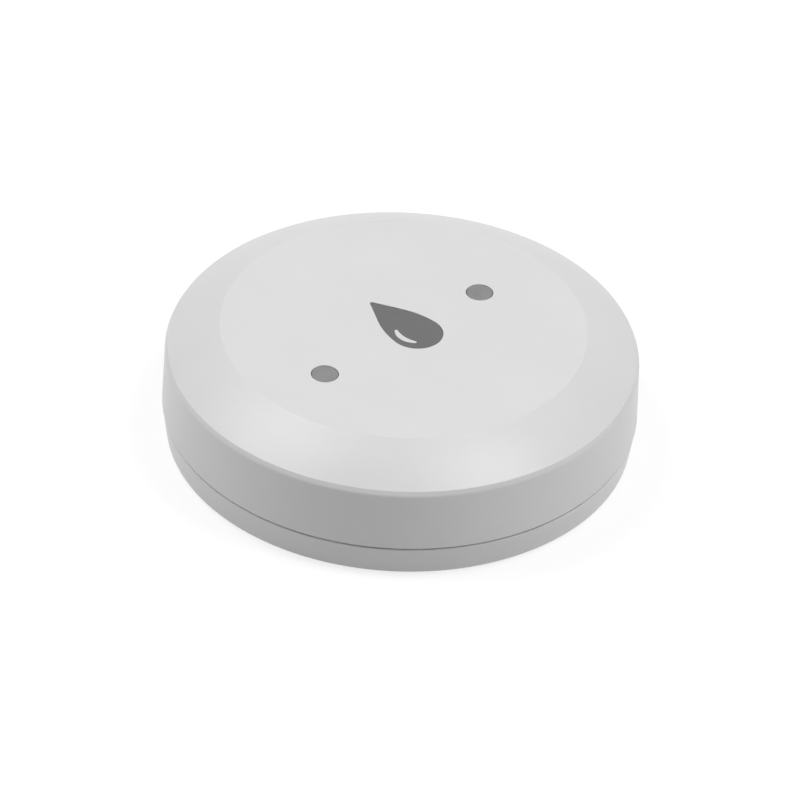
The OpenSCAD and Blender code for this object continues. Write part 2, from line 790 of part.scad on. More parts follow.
// Circuit board with holes for screws, pegs and solder tails
module circuit_board() {
    color("darkgreen")
        difference() {
            translate([0, 0, z_board])
                cylinder(r = board_r, h = board_t);
            for (place = probe_places)
                translate([place.x, place.y, z_board - cut])
                    cylinder(r = screw_hole_r, h = board_t + 2 * cut);
            for (side = [-1, 1])
                translate([0, side * peg_pitch / 2, z_board - cut])
                    cylinder(d = peg_d + 2 * pass_gap, h = board_t + 2 * cut);
            for (side = [-1, 1])
                tail_slot(side, z_board - cut, board_t + 2 * cut);
        }
}

// Slot for one solder tail
module tail_slot(side, z, h) {
    block([side * cell_x, -plate_y], z, [tail_w + 2 * pass_gap, plate_t + 2 * pass_gap, h]);
}

// Board screws with cross-recessed heads
module board_screws() {
    color("lightgray")
        for (place = probe_places)
            translate([place.x, place.y, z_board_top])
                difference() {
                    rotate_extrude()
                        polygon(rounded([
                            [0, -screw_l, 0],
                            [screw_d / 2, -screw_l, 0],
                            [screw_d / 2, 0, 0],
                            [screw_head_d / 2, 0, 0],
                            [screw_head_d / 2, screw_head_h, screw_round],
                            [0, screw_head_h, 0]]));
                    for (turn = [0, 90])
                        rotate([0, 0, turn])
                            block([0, 0], screw_head_h - recess_t, [recess_l, recess_w, recess_t + cut]);
                }
}

// Holder with two round-bottomed bays, floor slots, thumb notches and pegs into the board
module battery_holder() {
    color("#303030") {
        difference() {
            translate([0, 0, z_board_top])
                linear_extrude(holder_top - z_board_top)
                    round_rect([holder_w, holder_l], holder_round);
            for (side = [-1, 1])
                translate([side * cell_x, 0, z_cell])
                    cell_bay();
            for (side = [-1, 1], end = [-1, 1])
                block([side * cell_x, end * bay_l / 4], z_board_top - cut,
                    [bay_slot_w, bay_slot_l, z_cell - z_board_top]);
            block([0, 0], z_cell, [holder_w + 2 * cut, thumb_l, holder_lip + cut]);
            block([0, plate_y], z_plate,
                [2 * cell_x + plate_w, plate_t + 2 * touch, plate_reach + holder_lip + cut]);
            for (side = [-1, 1])
                tail_slot(side, z_board_top - cut, z_cell - z_board_top);
        }
        for (side = [-1, 1])
            translate([0, side * peg_pitch / 2, z_board])
                cylinder(d = peg_d, h = board_t + holder_floor);
    }
}

// Space for one cell and the contact plates at its ends
module cell_bay() {
    bay_depth = bay_l + 2 * plate_t;
    rotate([90, 0, 0])
        cylinder(r = bay_r, h = bay_depth, center = true);
    block([0, 0], 0, [2 * bay_r, bay_depth, holder_lip + cut]);
}

// Round cell with its nub, pointing to +Y or -Y
module battery(side) {
    body_l = cell_l - nub_h;
    color("silver")
        translate([side * cell_x, side * bay_l / 2, z_cell])
            rotate([side * 90, 0, 0])
                rotate_extrude()
                    polygon(rounded([
                        [0, 0, 0],
                        [nub_d / 2, 0, nub_round],
                        [nub_d / 2, nub_h, 0],
                        [cell_d / 2, nub_h, cell_round],
                        [cell_d / 2, nub_h + body_l, cell_round],
                        [0, nub_h + body_l, 0]]));
}

// Middle line of a cell spring, from the plate to the cell
cell_line = coil_line(cell_turns, cell_coil_wide, cell_coil_slim,
    cell_spring_l - cell_wire_d - 2 * touch, cell_wire_d);

// Cone-shaped spring at the flat end of a cell
module battery_spring(side) {
    color("silver")
        translate([side * cell_x, -side * (bay_l / 2 - cell_wire_d / 2 - touch), z_cell])
            rotate([-side * 90, 0, 0])
                wire_tube(cell_line, cell_wire_d);
}

// Contact plate inside an end wall of the holder
module contact_plate(x, side, w) {
    block([x, side * plate_y], z_plate, [w, plate_t, z_fold + plate_t - z_plate]);
}

// Fold that hooks a contact plate over the end wall's top
module plate_fold(x, side) {
    fold_l = holder_wall + plate_t;
    block([x, side * (holder_l - fold_l) / 2], z_fold, [fold_w, fold_l, plate_t]);
}

// Plate that joins the cells at one end of the holder
module battery_link() {
    color("silver") {
        contact_plate(0, 1, 2 * cell_x + plate_w - 2 * touch);
        for (side = [-1, 1])
            plate_fold(side * cell_x, 1);
    }
}

// Contact plate with a solder tail, at the other end of the holder
module battery_tab(side) {
    color("silver") {
        contact_plate(side * cell_x, -1, plate_w);
        plate_fold(side * cell_x, -1);
        block([side * cell_x, -plate_y], z_board - tail_l,
            [tail_w, plate_t, z_plate - z_board + tail_l + touch]);
    }
}

// Radio module's own small board, with half-round pads along its edges
module radio_module() {
    first_pad = can_y - (pads - 1) * pad_pitch / 2;
    color("darkslategray")
        difference() {
            block([-bank_x, radio_y], z_board_top, [radio_w, radio_l, radio_t]);
            for (side = [-1, 1], k = [0:pads - 1])
                translate([side * radio_w / 2 - bank_x, first_pad + k * pad_pitch, z_board_top - cut])
                    cylinder(d = pad_d, h = radio_t + 2 * cut, $fn = small_fn);
        }
}

// Shield can over the radio
module radio_shield() {
    color("lightgray")
        translate([-bank_x, can_y, z_radio_top])
            difference() {
                linear_extrude(can_h)
                    round_rect([can_w, can_l], can_round);
                translate([0, 0, -can_t])
                    linear_extrude(can_h)
                        round_rect([can_w - 2 * can_t, can_l - 2 * can_t], can_round - can_t);
            }
}

// Folded antenna track on the bare end of the radio module
module antenna() {
    runs = floor((radio_w - 2 * can_inset - track_w) / (2 * track_w));
    run_l = antenna_l - can_inset - 2 * track_w;
    x_from = -bank_x - runs * track_w;
    color("goldenrod")
        translate([x_from, antenna_y + track_w, z_radio_top])
            linear_extrude(track_t)
                for (i = [0:runs]) {
                    translate([2 * i * track_w - track_w / 2, 0]) square([track_w, run_l]);
                    if (i < runs)
                        translate([2 * i * track_w - track_w / 2, i % 2 == 0 ? run_l - track_w : 0])
                            square([3 * track_w, track_w]);
                }
}

// Controller chip with a corner mark and a row of bent leads along each side
module controller_chip() {
    mark = chip_w / 2 - chip_mark_d;
    color("#202020")
        translate([bank_x, chip_y, z_board_top]) {
            difference() {
                block([0, 0], chip_lift, [chip_w, chip_w, chip_h - chip_lift]);
                translate([-mark, mark, chip_h - chip_mark_t])
                    cylinder(d = chip_mark_d, h = chip_h, $fn = small_fn);
            }
            for (turn = [0:90:270], k = [0:leads - 1])
                rotate([0, 0, turn])
                    translate([chip_w / 2, (k - (leads - 1) / 2) * lead_pitch, 0])
                        bent_lead((chip_h - lead_t) / 2, lead_bend, lead_l, lead_w);
        }
}

// Crystal: a lid on a wider foot
module crystal() {
    lid = [crystal_l - 2 * crystal_step, crystal_w - 2 * crystal_step];
    color("silver")
        translate([-bank_x, crystal_y, z_board_top]) {
            linear_extrude(crystal_foot_h)
                round_rect([crystal_l, crystal_w], crystal_round);
            linear_extrude(crystal_h)
                round_rect(lid, crystal_round);
        }
}

// Small capacitors and resistors with metal ends, in two rows
module board_passives() {
    outer = [chip_part_l, chip_part_w, chip_part_h];
    cap = [chip_cap_l, chip_part_w, chip_part_h];
    inset = [chip_cap_t, chip_cap_t, chip_cap_t];
    color("tan")
        for (column = [-1:1], row = [0:1])
            translate([column * chip_part_pitch - bank_x, chip_part_y - row * chip_part_pitch, z_board_top]) {
                block([0, 0], chip_cap_t, outer - 2 * inset);
                for (side = [-1, 1])
                    block([side * (outer.x - cap.x) / 2, 0], 0, cap);
            }
}

// Status light with a round dome
module status_led() {
    color("ivory")
        translate([led_place.x, led_place.y, z_board_top]) {
            block([0, 0], 0, [led_w, led_l, led_h]);
            intersection() {
                translate([0, 0, led_h]) sphere(led_dome_r, $fn = small_fn);
                block([0, 0], led_h / 2, [led_w, led_l, led_h + led_dome_r]);
            }
        }
}

// Switch body with a studded top plate, four bent legs and a well for the plunger
module switch_body() {
    lid_w = switch_w - 2 * lid_step;
    stud = switch_w / 2 - stud_edge;
    color("#282828")
        difference() {
            translate([switch_place.x, switch_place.y, z_board_top]) {
                block([0, 0], 0, [switch_w, switch_w, switch_h - switch_lid]);
                block([0, 0], 0, [lid_w, lid_w, switch_h]);
                for (x = [-stud, stud], y = [-stud, stud])
                    translate([x, y, 0])
                        cylinder(d = stud_d, h = switch_h + stud_h, $fn = small_fn);
                for (turn = [0, 180], y = [-stud, stud])
                    rotate([0, 0, turn])
                        translate([switch_w / 2, y, 0])
                            bent_lead((switch_h - switch_lid) / 2, lead_bend, leg_l, leg_w);
            }
            translate([switch_place.x, switch_place.y, z_switch_lid - switch_well])
                cylinder(r = plunger_r + collar_w + plunger_gap, h = switch_well, $fn = small_fn);
            translate([switch_place.x, switch_place.y, z_switch_lid - touch])
                cylinder(r = plunger_r + plunger_gap, h = switch_lid + cut, $fn = small_fn);
        }
}

// Plunger with a collar under the switch's top plate
module switch_plunger() {
    z_collar = z_switch_lid - plunger_gap - collar_t;
    color("white")
        translate([switch_place.x, switch_place.y, z_collar]) {
            cylinder(r = plunger_r + collar_w, h = collar_t, $fn = small_fn);
            cylinder(r = plunger_r, h = collar_t + plunger_gap + switch_lid + plunger_h, $fn = small_fn);
        }
}

// Middle line of a contact spring, from the board to the clip
contact_line = coil_line(contact_turns, contact_coil_r, contact_coil_r,
    z_clip - spring_film - z_board_top - contact_wire_d - touch, contact_wire_d);

// Spring that joins a drip contact to the board
module contact_spring(place) {
    color("silver")
        translate([place.x, place.y, z_board_top + contact_wire_d / 2 + touch])
            wire_tube(contact_line, contact_wire_d);
}

// Cover: drafted wall, bevelled shoulder, crowned slope and flat top, with sockets, bosses and ribs
module top_cover() {
    color("white")
        difference() {
            union() {
                difference() {
                    rotate_extrude()
                        polygon(rounded([
                            [0, z_cover, 0],
                            [cover_foot.x, z_cover, lip_round],
                            [bevel_low.x, bevel_low.y, shoulder_round],
                            [bevel_high.x, bevel_high.y, lip_round],
                            [slope_corner.x, slope_corner.y, slope_r],
                            [cover_rim.x, z_top, top_round],
                            [0, z_top, 0]]));
                    cover_inside();
                }
                for (place = contact_places)
                    translate([place.x, place.y, z_boss])
                        cylinder(r = stem_hole_r + contact_boss_t, h = contact_boss_h + cut);
                for (place = guide_pins)
                    translate([place.x, place.y, z_guide - guide_pin_head])
                        cylinder(d = guide_pin_d, h = guide_pin_head + guide_t + cut, $fn = small_fn);
                block([0, bore_r + cut - key_l / 2], z_seat - key_h, [key_w, key_l, key_h + cut]);
                for (k = [0:cover_ribs - 1])
                    rotate([0, 0, (k + 0.5) * 360 / cover_ribs])
                        cover_rib();
            }
            for (place = contact_places)
                translate(place)
                    contact_socket();
            translate([0, 0, z_inlay])
                linear_extrude(inlay_t + inlay_sink + cut) drop_outline(inlay_gap);
            translate([0, 0, z_ceiling - cut])
                linear_extrude(wall) nose_outline(pass_gap);
        }
}

// Rib across the inside of the shoulder, rooted in the wall, the slope and the top
module cover_rib() {
    root_shoulder = inset_corner(cover_foot, cover_shoulder, cover_rim, wall - cut);
    root_rim = inset_corner(cover_shoulder, cover_rim, cover_middle, wall - cut);
    x_from = inner_rim.x - rib_run;
    z_from = inner_shoulder.y - rib_run;
    rotate([90, 0, 0])
        linear_extrude(rib_t, center = true)
            polygon([
                [x_from, z_ceiling],
                [inner_shoulder.x, z_from],
                [root_shoulder.x, z_from],
                root_shoulder,
                root_rim,
                [x_from, root_rim.y]]);
}

// Inside of the cover: seal bore, seating ledge, wall, slope and ceiling
module cover_inside() {
    rotate_extrude()
        polygon(rounded([
            [0, z_cover - cut, 0],
            [bore_r, z_cover - cut, 0],
            [bore_r, z_seat, 0],
            [seat_r, z_seat, 0],
            [inner_shoulder.x, inner_shoulder.y, tray_round],
            [inner_rim.x, z_ceiling, tray_round],
            [0, z_ceiling, 0]]));
}

// Space in the cover for one drip contact and its seal
module contact_socket() {
    translate([0, 0, z_contact_seat])
        cylinder(r = contact_r + contact_gap, h = contact_t + contact_sink + cut);
    translate([0, 0, z_contact_seat - contact_seal_d])
        cylinder(r = stem_hole_r + contact_seal_d, h = contact_seal_d + cut);
    translate([0, 0, z_boss - cut])
        cylinder(r = stem_hole_r, h = z_top - z_boss);
}

// Dark drop, set flush in the top, with the crescent cut out
module drop_inlay() {
    color("dimgray")
        translate([0, 0, z_inlay])
            linear_extrude(inlay_t)
                difference() {
                    drop_outline(0);
                    lens_outline(0);
                }
}

// Pale crescent that lights up
module drop_lens() {
    color("white")
        translate([0, 0, z_inlay])
            linear_extrude(inlay_t)
                lens_outline(lens_gap);
}

// Light guide from the status light to the lens
module light_guide() {
    z_leg = led_top + guide_air;
    color("lightblue")
        difference() {
            union() {
                translate([0, 0, z_guide])
                    linear_extrude(guide_t) bar_outline(led_place, lens_middle, guide_w);
                translate([led_place.x, led_place.y, z_leg])
                    cylinder(d = guide_leg_d, h = z_guide - z_leg + touch);
                translate([0, 0, z_guide])
                    linear_extrude(z_inlay - touch - z_guide) nose_outline(0);
            }
            for (place = guide_pins)
                translate([place.x, place.y, z_guide - cut])
                    cylinder(d = guide_pin_d + 2 * pass_gap, h = guide_t + 2 * cut, $fn = small_fn);
        }
}

// Drip contact: a flat round face on a stem
module drip_contact(place) {
    color("gray")
        translate([place.x, place.y, 0])
            rotate_extrude()
                polygon(rounded([
                    [0, z_clip - stem_tip, 0],
                    [stem_r, z_clip - stem_tip, stem_round],
                    [stem_r, z_contact_seat, 0],
                    [contact_r, z_contact_seat, 0],
                    [contact_r, z_contact, contact_round],
                    [0, z_contact, 0]]));
}

// Seal rings under the contact heads
module contact_seals() {
    color("dimgray")
        for (place = contact_places)
            translate([place.x, place.y, z_contact_seat - contact_seal_d / 2])
                cord_ring(contact_seal_r, contact_seal_d - 2 * touch);
}

// Push-on clips with slotted teeth, which hold the contacts from below
module contact_clips() {
    color("silver")
        for (place = contact_places)
            translate([place.x, place.y, z_clip])
                difference() {
                    cylinder(d = clip_d, h = clip_t);
                    translate([0, 0, -cut])
                        cylinder(r = stem_r + touch, h = clip_t + 2 * cut);
                    for (k = [0:clip_slots - 1])
                        rotate([0, 0, 360 * k / clip_slots])
                            translate([0, -clip_slot_w / 2, -cut])
                                cube([stem_r + clip_slot_l, clip_slot_w, clip_t + 2 * cut]);
                }
}

echo(contact_spring_gap = coil_gap(contact_line, contact_wire_d));
echo(cell_spring_gap = coil_gap(cell_line, cell_wire_d));

base_shell();
seal_ring();
floor_probe(probe_places[0]);  // floor_probe_1
floor_probe(probe_places[1]);  // floor_probe_2
floor_probe(probe_places[2]);  // floor_probe_3
floor_probe(probe_places[3]);  // floor_probe_4
probe_seals();
circuit_board();
board_screws();
battery_holder();
battery(-1);  // battery_1
battery(1);  // battery_2
battery_spring(-1);  // battery_spring_1
battery_spring(1);  // battery_spring_2
battery_link();
battery_tab(-1);  // battery_tab_1
battery_tab(1);  // battery_tab_2
radio_module();
radio_shield();
antenna();
controller_chip();
crystal();
board_passives();
status_led();
switch_body();
switch_plunger();
contact_spring(contact_places[0]);  // contact_spring_1
contact_spring(contact_places[1]);  // contact_spring_2
top_cover();
drop_inlay();
drop_lens();
light_guide();
drip_contact(contact_places[0]);  // drip_contact_1
drip_contact(contact_places[1]);  // drip_contact_2
contact_seals();
contact_clips();
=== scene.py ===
import math
from collections import namedtuple
import bmesh
import bpy
from mathutils import Matrix, Vector


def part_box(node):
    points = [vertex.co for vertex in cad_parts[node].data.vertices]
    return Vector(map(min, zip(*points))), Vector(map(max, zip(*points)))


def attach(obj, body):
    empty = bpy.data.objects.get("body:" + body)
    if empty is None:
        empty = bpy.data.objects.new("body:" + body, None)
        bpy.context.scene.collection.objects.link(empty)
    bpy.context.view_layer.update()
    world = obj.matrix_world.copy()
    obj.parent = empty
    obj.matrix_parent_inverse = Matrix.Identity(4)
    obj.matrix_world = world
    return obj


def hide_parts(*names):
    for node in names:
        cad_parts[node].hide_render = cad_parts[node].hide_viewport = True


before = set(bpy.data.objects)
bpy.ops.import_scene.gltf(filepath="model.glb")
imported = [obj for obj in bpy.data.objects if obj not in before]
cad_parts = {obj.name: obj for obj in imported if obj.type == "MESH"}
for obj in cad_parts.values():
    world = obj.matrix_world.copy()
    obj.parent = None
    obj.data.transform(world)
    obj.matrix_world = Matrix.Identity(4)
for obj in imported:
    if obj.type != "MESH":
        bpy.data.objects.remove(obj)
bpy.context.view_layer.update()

MM = 0.001
SIDES = (-1, 1)
WHITE = (1.0, 1.0, 1.0, 1.0)

# Camera, as fitted to the photograph
FRAME_PX = 800
SENSOR_MM = 36.0
FOCAL_PX = 5364.0
CAMERA_CLIP_START = 0.01
CAMERA_CLIP_END = 50.0
CAMERA_DISTANCE = 0.9
CAMERA_ELEVATION = math.radians(37.0)
CAMERA_AZIMUTH = math.radians(-45.09)
CAMERA_ROLL = math.radians(2.92)
AIM_POINT = Vector((0.0, 0.0, 10.6 * MM))
AIM_SHIFT_RIGHT = -0.159 * MM
AIM_SHIFT_UP = -3.515 * MM

# Studio lamps. Directions are in the camera's level frame: right, away and up.
# Low lamps stay out of mirrored rays, because they would burn out the flat top in low views.
Softbox = namedtuple("Softbox", "name direction side watts mirrored")
LAMP_DISTANCE = 0.9
SOFTBOXES = [
    Softbox("softbox_top_left", (-0.445, 0.13, 0.86), 0.44, 2.54, True),
    Softbox("softbox_top_right", (0.40, -0.06, 0.945), 0.36, 2.31, True),
    Softbox("softbox_left", (-0.9, 0.0, 0.5), 0.5, 1.62, False),
    Softbox("softbox_right", (0.9, -0.16, 0.5), 0.5, 2.08, False),
    Softbox("softbox_front", (0.0, -0.8, 0.4), 0.5, 0.60, False),
    Softbox("softbox_back", (0.0, 0.7, 0.7), 0.5, 0.38, True),
]

# Strength of the world as the camera and mirrors see it, and as a light
WORLD_SEEN = 1.0
WORLD_LIGHT = 0.1

# Floor: its colour, and the light that it gives to the object
FLOOR_ALBEDO = 0.36
FLOOR_SHINE = 0.19
# Glow of the floor as seen near the object and far off, where less of the lamps' light falls
FLOOR_GLOW = 0.55
FLOOR_GLOW_FAR = 0.80
FLOOR_NEAR = 0.1
FLOOR_FAR = 1.0
FLOOR_SIZE = 6.0
# Keeps the diagonal of the floor's face clear of the object
FLOOR_SHIFT = 0.7

# Look of one surface: darkest and lightest colour, roughness and metallic share
Finish = namedtuple("Finish", "dark light rough metallic")
HOUSING = Finish((0.776, 0.776, 0.776), (0.796, 0.796, 0.796), 0.34, 0.0)
INLAY = Finish((0.120, 0.120, 0.120), (0.135, 0.135, 0.135), 0.40, 0.0)
LENS = Finish((0.765, 0.765, 0.765), (0.785, 0.785, 0.785), 0.35, 0.0)
CONTACT = Finish((0.205, 0.205, 0.205), (0.235, 0.235, 0.235), 0.42, 0.6)
RUBBER = Finish((0.060, 0.060, 0.064), (0.080, 0.080, 0.084), 0.60, 0.0)
NICKEL = Finish((0.60, 0.58, 0.54), (0.68, 0.66, 0.62), 0.28, 1.0)
STEEL = Finish((0.56, 0.56, 0.57), (0.64, 0.64, 0.65), 0.26, 1.0)
TIN = Finish((0.66, 0.66, 0.66), (0.74, 0.74, 0.74), 0.32, 1.0)
GOLD = Finish((0.72, 0.50, 0.20), (0.80, 0.58, 0.26), 0.26, 1.0)
SOLDER_MASK = Finish((0.010, 0.085, 0.036), (0.014, 0.100, 0.044), 0.28, 0.0)
TRACE_MASK = Finish((0.020, 0.135, 0.060), (0.026, 0.155, 0.070), 0.28, 0.0)
LAMINATE = Finish((0.30, 0.29, 0.15), (0.36, 0.35, 0.19), 0.60, 0.0)
MODULE_MASK = Finish((0.008, 0.016, 0.040), (0.012, 0.022, 0.050), 0.30, 0.0)
SILK = Finish((0.74, 0.74, 0.72), (0.80, 0.80, 0.78), 0.60, 0.0)
BLACK_NYLON = Finish((0.018, 0.018, 0.019), (0.028, 0.028, 0.029), 0.46, 0.0)
EPOXY = Finish((0.016, 0.016, 0.017), (0.024, 0.024, 0.025), 0.52, 0.0)
CERAMIC_TAN = Finish((0.36, 0.27, 0.18), (0.43, 0.33, 0.22), 0.50, 0.0)
CERAMIC_DARK = Finish((0.020, 0.020, 0.022), (0.032, 0.032, 0.034), 0.45, 0.0)
CERAMIC_WHITE = Finish((0.62, 0.60, 0.55), (0.70, 0.68, 0.63), 0.45, 0.0)
PHOSPHOR = Finish((0.80, 0.72, 0.36), (0.86, 0.80, 0.46), 0.18, 0.0)
PLUNGER = Finish((0.30, 0.30, 0.30), (0.35, 0.35, 0.35), 0.42, 0.0)
SLEEVE_MAIN = Finish((0.045, 0.110, 0.150), (0.055, 0.130, 0.175), 0.24, 0.0)
SLEEVE_BAND = Finish((0.52, 0.53, 0.54), (0.60, 0.61, 0.62), 0.24, 0.3)
CLEAR = Finish((0.86, 0.90, 0.92), (0.90, 0.94, 0.96), 0.12, 0.0)
CLEAR_TRANSMISSION = 0.75
CLEAR_IOR = 1.49

# Fine grain of a surface: its size, its depth and its stretch along the axes
EVEN = (1.0, 1.0, 1.0)
Grain = namedtuple("Grain", "size depth stretch", defaults=(0.004 * MM, EVEN))
MOULDED = Grain(0.25 * MM)
MOULDED_COARSE = Grain(0.25 * MM, 0.008 * MM)
FLOW_MARKS = Grain(1.5 * MM)
SOFT = Grain(0.4 * MM)
ZINC_PLATED = Grain(0.3 * MM)
BRUSHED_PLATE = Grain(0.12 * MM, stretch=(14.0, 14.0, 1.0))
BRUSHED_CAN = Grain(0.2 * MM, stretch=(1.0, 12.0, 1.0))
DRAWN_WIRE = Grain(0.1 * MM, 0.002 * MM)
TURNED = Grain(0.12 * MM, 0.003 * MM)
GILT_TRACK = Grain(0.15 * MM)
GILT_PAD = Grain(0.15 * MM, 0.002 * MM)
CAST_SOLDER = Grain(0.2 * MM)
PRINT = Grain(0.1 * MM)
LACQUER = Grain(0.5 * MM, 0.0012 * MM)
SHRUNK_FILM = Grain(0.8 * MM, 0.006 * MM)
SMALL_PART = Grain(0.2 * MM, 0.003 * MM)
FIRED = Grain(0.15 * MM, 0.003 * MM)

# Cloudiness of the colour, and how far the roughness wavers with the grain
CLOUD = 14 * MM
CLOUD_SMALL_PART = 6 * MM
CLOUD_TURNED = 3 * MM
CLOUD_PASSIVE = 1.0 * MM
CLOUD_STOPS = (0.3, 0.7)
GRAIN_STOPS = (0.2, 0.8)
ROUGH_SPREAD = 0.05
ROUGH_SPREAD_TURNED = 0.06
DETAIL = 3.0
DETAIL_FINE = 2.0
TURNED_PITCH = 0.16 * MM
# Faces whose normal rises less than this count as upright
UPRIGHT_RISE = 0.5

# The mix node's colour sockets share their names with those of its other modes
MIX_COLOUR_A = 6
MIX_COLOUR_B = 7
MIX_COLOUR_RESULT = 2

# Fineness of the scene's own meshes
LATHE_STEPS = 48
SLEEVE_STEPS = 72
RING_STEPS = 40
DOME_STEPS = 16
DOME_LEVELS = 4
WIRE_SIDES = 12
SPRING_STEPS = 28
SHARP_ANGLE = 40.0
SLEEVE_SHARP_ANGLE = 60.0

# Springs, as in the part's source. An end settles over part of a turn to a share of the full pitch.
CONTACT_COIL_R = 1.9 * MM
CONTACT_WIRE_R = 0.25 * MM
CONTACT_TURNS = 7
CONTACT_SETTLE = 1.0
CELL_COIL_WIDE = 3.4 * MM
CELL_COIL_SLIM = 2.0 * MM
CELL_WIRE_R = 0.25 * MM
CELL_TURNS = 2.5
CELL_SETTLE = 0.8
END_PITCH = 0.12

# Cells: the number of each, and which way along Y its nub points
CELLS = ((1, -1), (2, 1))
NUB_H = 0.8 * MM

# Sleeve of a cell: its section in mm, as distance outside the cell's side and run past an end face
SLEEVE_RISE = 0.06 * MM
SLEEVE_NUB_END = ((-1.5, 0.0), (-0.7, -0.02), (-0.25, 0.1), (0.0, 0.35), (0.06, 0.8))
SLEEVE_FLAT_END = (
    (0.06, -0.8), (0.0, -0.35), (-0.25, -0.1), (-0.7, 0.02), (-1.2, 0.0), (-1.2, -0.3), (-0.1, -1.0))
SLEEVE_INSIDE = ((-0.1, 1.0), (-1.5, 0.3))
SLEEVE_BAND_FROM = 3.0 * MM
SLEEVE_BAND_TO = 12.0 * MM
SLEEVE_LINE_AT = 13.2 * MM
SLEEVE_LINE_HALF = 0.35 * MM
# Washer round the nub: its section in mm, as radius and run past the shoulder of the cell
WASHER = ((2.0, 0.1), (2.0, -0.12), (2.3, -0.16), (3.3, -0.16), (3.6, -0.08), (3.65, 0.1))

# Layers on the board: their height above it, and how far they sink in
TRACE_H = 0.03 * MM
PAD_H = 0.045 * MM
SILK_H = 0.02 * MM
SINK = 0.02 * MM

# Board parts, as in the part's source
RADIO_PAD_PITCH = 1.3 * MM
# Keeps a length that is a whole number of pitches from losing one to rounding
ROUNDING = 1e-6
LEAD_PITCH = 0.65 * MM
LEADS = 8
PASSIVE_PITCH = 2.8 * MM
LEG_Y = 2.15 * MM

# Where one look ends and the next begins on a part of two looks
CHIP_LEAD_REACH = 0.9 * MM
CRYSTAL_FOOT_H = 0.35 * MM
LED_BODY_H = 1.4 * MM
PASSIVE_BODY_HALF = 0.45 * MM
PASSIVE_END_ROUGH = 0.34
RADIO_PLATING_REACH = 0.6 * MM
RADIO_PLATING_HALF = 0.42 * MM
RADIO_PLATING_END = 0.45 * MM
SWITCH_PLATE_FROM = 2.41 * MM
SWITCH_PLATE_TO = 3.11 * MM
SWITCH_LEGS_FROM = 3.005 * MM

# Pads: inner and outer radius, or width and length, and the place of their middles
CONTACT_PAD = (1.0 * MM, 3.0 * MM)
SCREW_PAD = (1.2 * MM, 3.2 * MM)
PASSIVE_PAD = (0.7 * MM, 1.0 * MM)
PASSIVE_PAD_X = 0.85 * MM
RADIO_PAD = (1.0 * MM, 0.8 * MM)
RADIO_PAD_OUT = 0.3 * MM
LEAD_PAD_L = 0.9 * MM
LEAD_PAD_W = 0.36 * MM
LEAD_PAD_IN = 0.15 * MM
LEG_PAD = (1.4 * MM, 1.2 * MM)
LED_PAD = (2.2 * MM, 1.1 * MM)
LED_PAD_Y = 1.9 * MM

# Solder: half widths and height of a dome, and the place of its middle
PASSIVE_SOLDER = (0.34 * MM, 0.42 * MM, 0.46 * MM)
PASSIVE_SOLDER_X = 0.82 * MM
RADIO_SOLDER = (0.5 * MM, 0.34 * MM, 0.62 * MM)
RADIO_SOLDER_OUT = 0.1 * MM
LED_SOLDER = (0.95 * MM, 0.42 * MM, 0.6 * MM)
LED_SOLDER_Y = 1.85 * MM
LEG_SOLDER = (0.6 * MM, 0.52 * MM, 0.3 * MM)
LEG_SOLDER_IN = 0.1 * MM

# Print: frames round parts, each with its margins across and along
SILK_LINE = 0.18 * MM
SILK_FRAMES = [
    ("controller_chip", 0.5 * MM, 0.5 * MM),
    ("crystal", 0.5 * MM, 0.5 * MM),
    ("board_passives", 0.9 * MM, 0.7 * MM),
    ("switch_body", 0.7 * MM, 0.5 * MM),
    ("status_led", 0.4 * MM, 0.9 * MM),
    ("radio_module", 1.0 * MM, 0.4 * MM),
]
# Print: the dot at the chip's first corner, and the plus and minus marks past the cell holder
SILK_DOT = (0.05 * MM, 0.3 * MM)
SILK_DOT_LEFT = 1.1 * MM
SILK_DOT_UP = 0.1 * MM
POLE_LINE = 2 * SILK_LINE
POLE_ARM = 0.9 * MM
POLE_GAP = 2.2 * SILK_LINE
POLE_PAST_HOLDER = 2.2 * MM

# Tracks: those that leave a bank of parts end under the wall of the cell holder
UNDER_WALL = 0.6 * MM
VIA = (0.16 * MM, 0.36 * MM)
VIA_RISE = 0.01 * MM
RADIO_TRACK_W = 0.3 * MM
RADIO_TRACK_FROM = 0.6 * MM
RADIO_BEND = 1.6 * MM
RADIO_JOG = 1.6 * MM
RADIO_STUB_BEND = 1.5 * MM
RADIO_STUB_END = 2.0 * MM
RADIO_STUB_JOG = 0.5 * MM
RADIO_VIA_OUT = 2.2 * MM
RADIO_VIA_UP = 0.7 * MM
LEAD_TRACK_W = 0.2 * MM
FAN_FROM = 0.8 * MM
FAN_TO = 1.6 * MM
FAN_END = 2.2 * MM
FAN_VIA = 2.5 * MM
FAN_STAGGER = 0.5 * MM
FAN_SPREAD = 0.7
LEFT_LEADS = 3
LEFT_STEP = 0.7 * MM
LEFT_JOG = 0.8 * MM
LED_NEAR_BEND = 0.5 * MM
LED_FAR_BEND = 0.9 * MM
SWITCH_TRACK_W = 0.25 * MM
SWITCH_STRAIGHT = 1.2 * MM
SWITCH_BEND = 3.0 * MM
SWITCH_TRACK_Y = 2.6 * MM
PROBE_TRACK_W = 0.7 * MM
PROBE_TRACK_FROM = 2.2 * MM
PROBE_TRACK_BEND = 4.2 * MM
CONTACT_TRACK_W = 0.5 * MM
CONTACT_TRACK_FROM = 2.8 * MM
CRYSTAL_TRACK_W = 0.25 * MM
CRYSTAL_TRACK_X = 0.9 * MM
CRYSTAL_TRACK_L = 2.6 * MM
CRYSTAL_VIA_Y = 3.0 * MM
PASSIVE_TRACK_W = 0.22 * MM
PASSIVE_TRACK_X = 0.95 * MM
PASSIVE_TRACK_L = 1.0 * MM
PASSIVE_VIA_Y = 1.3 * MM


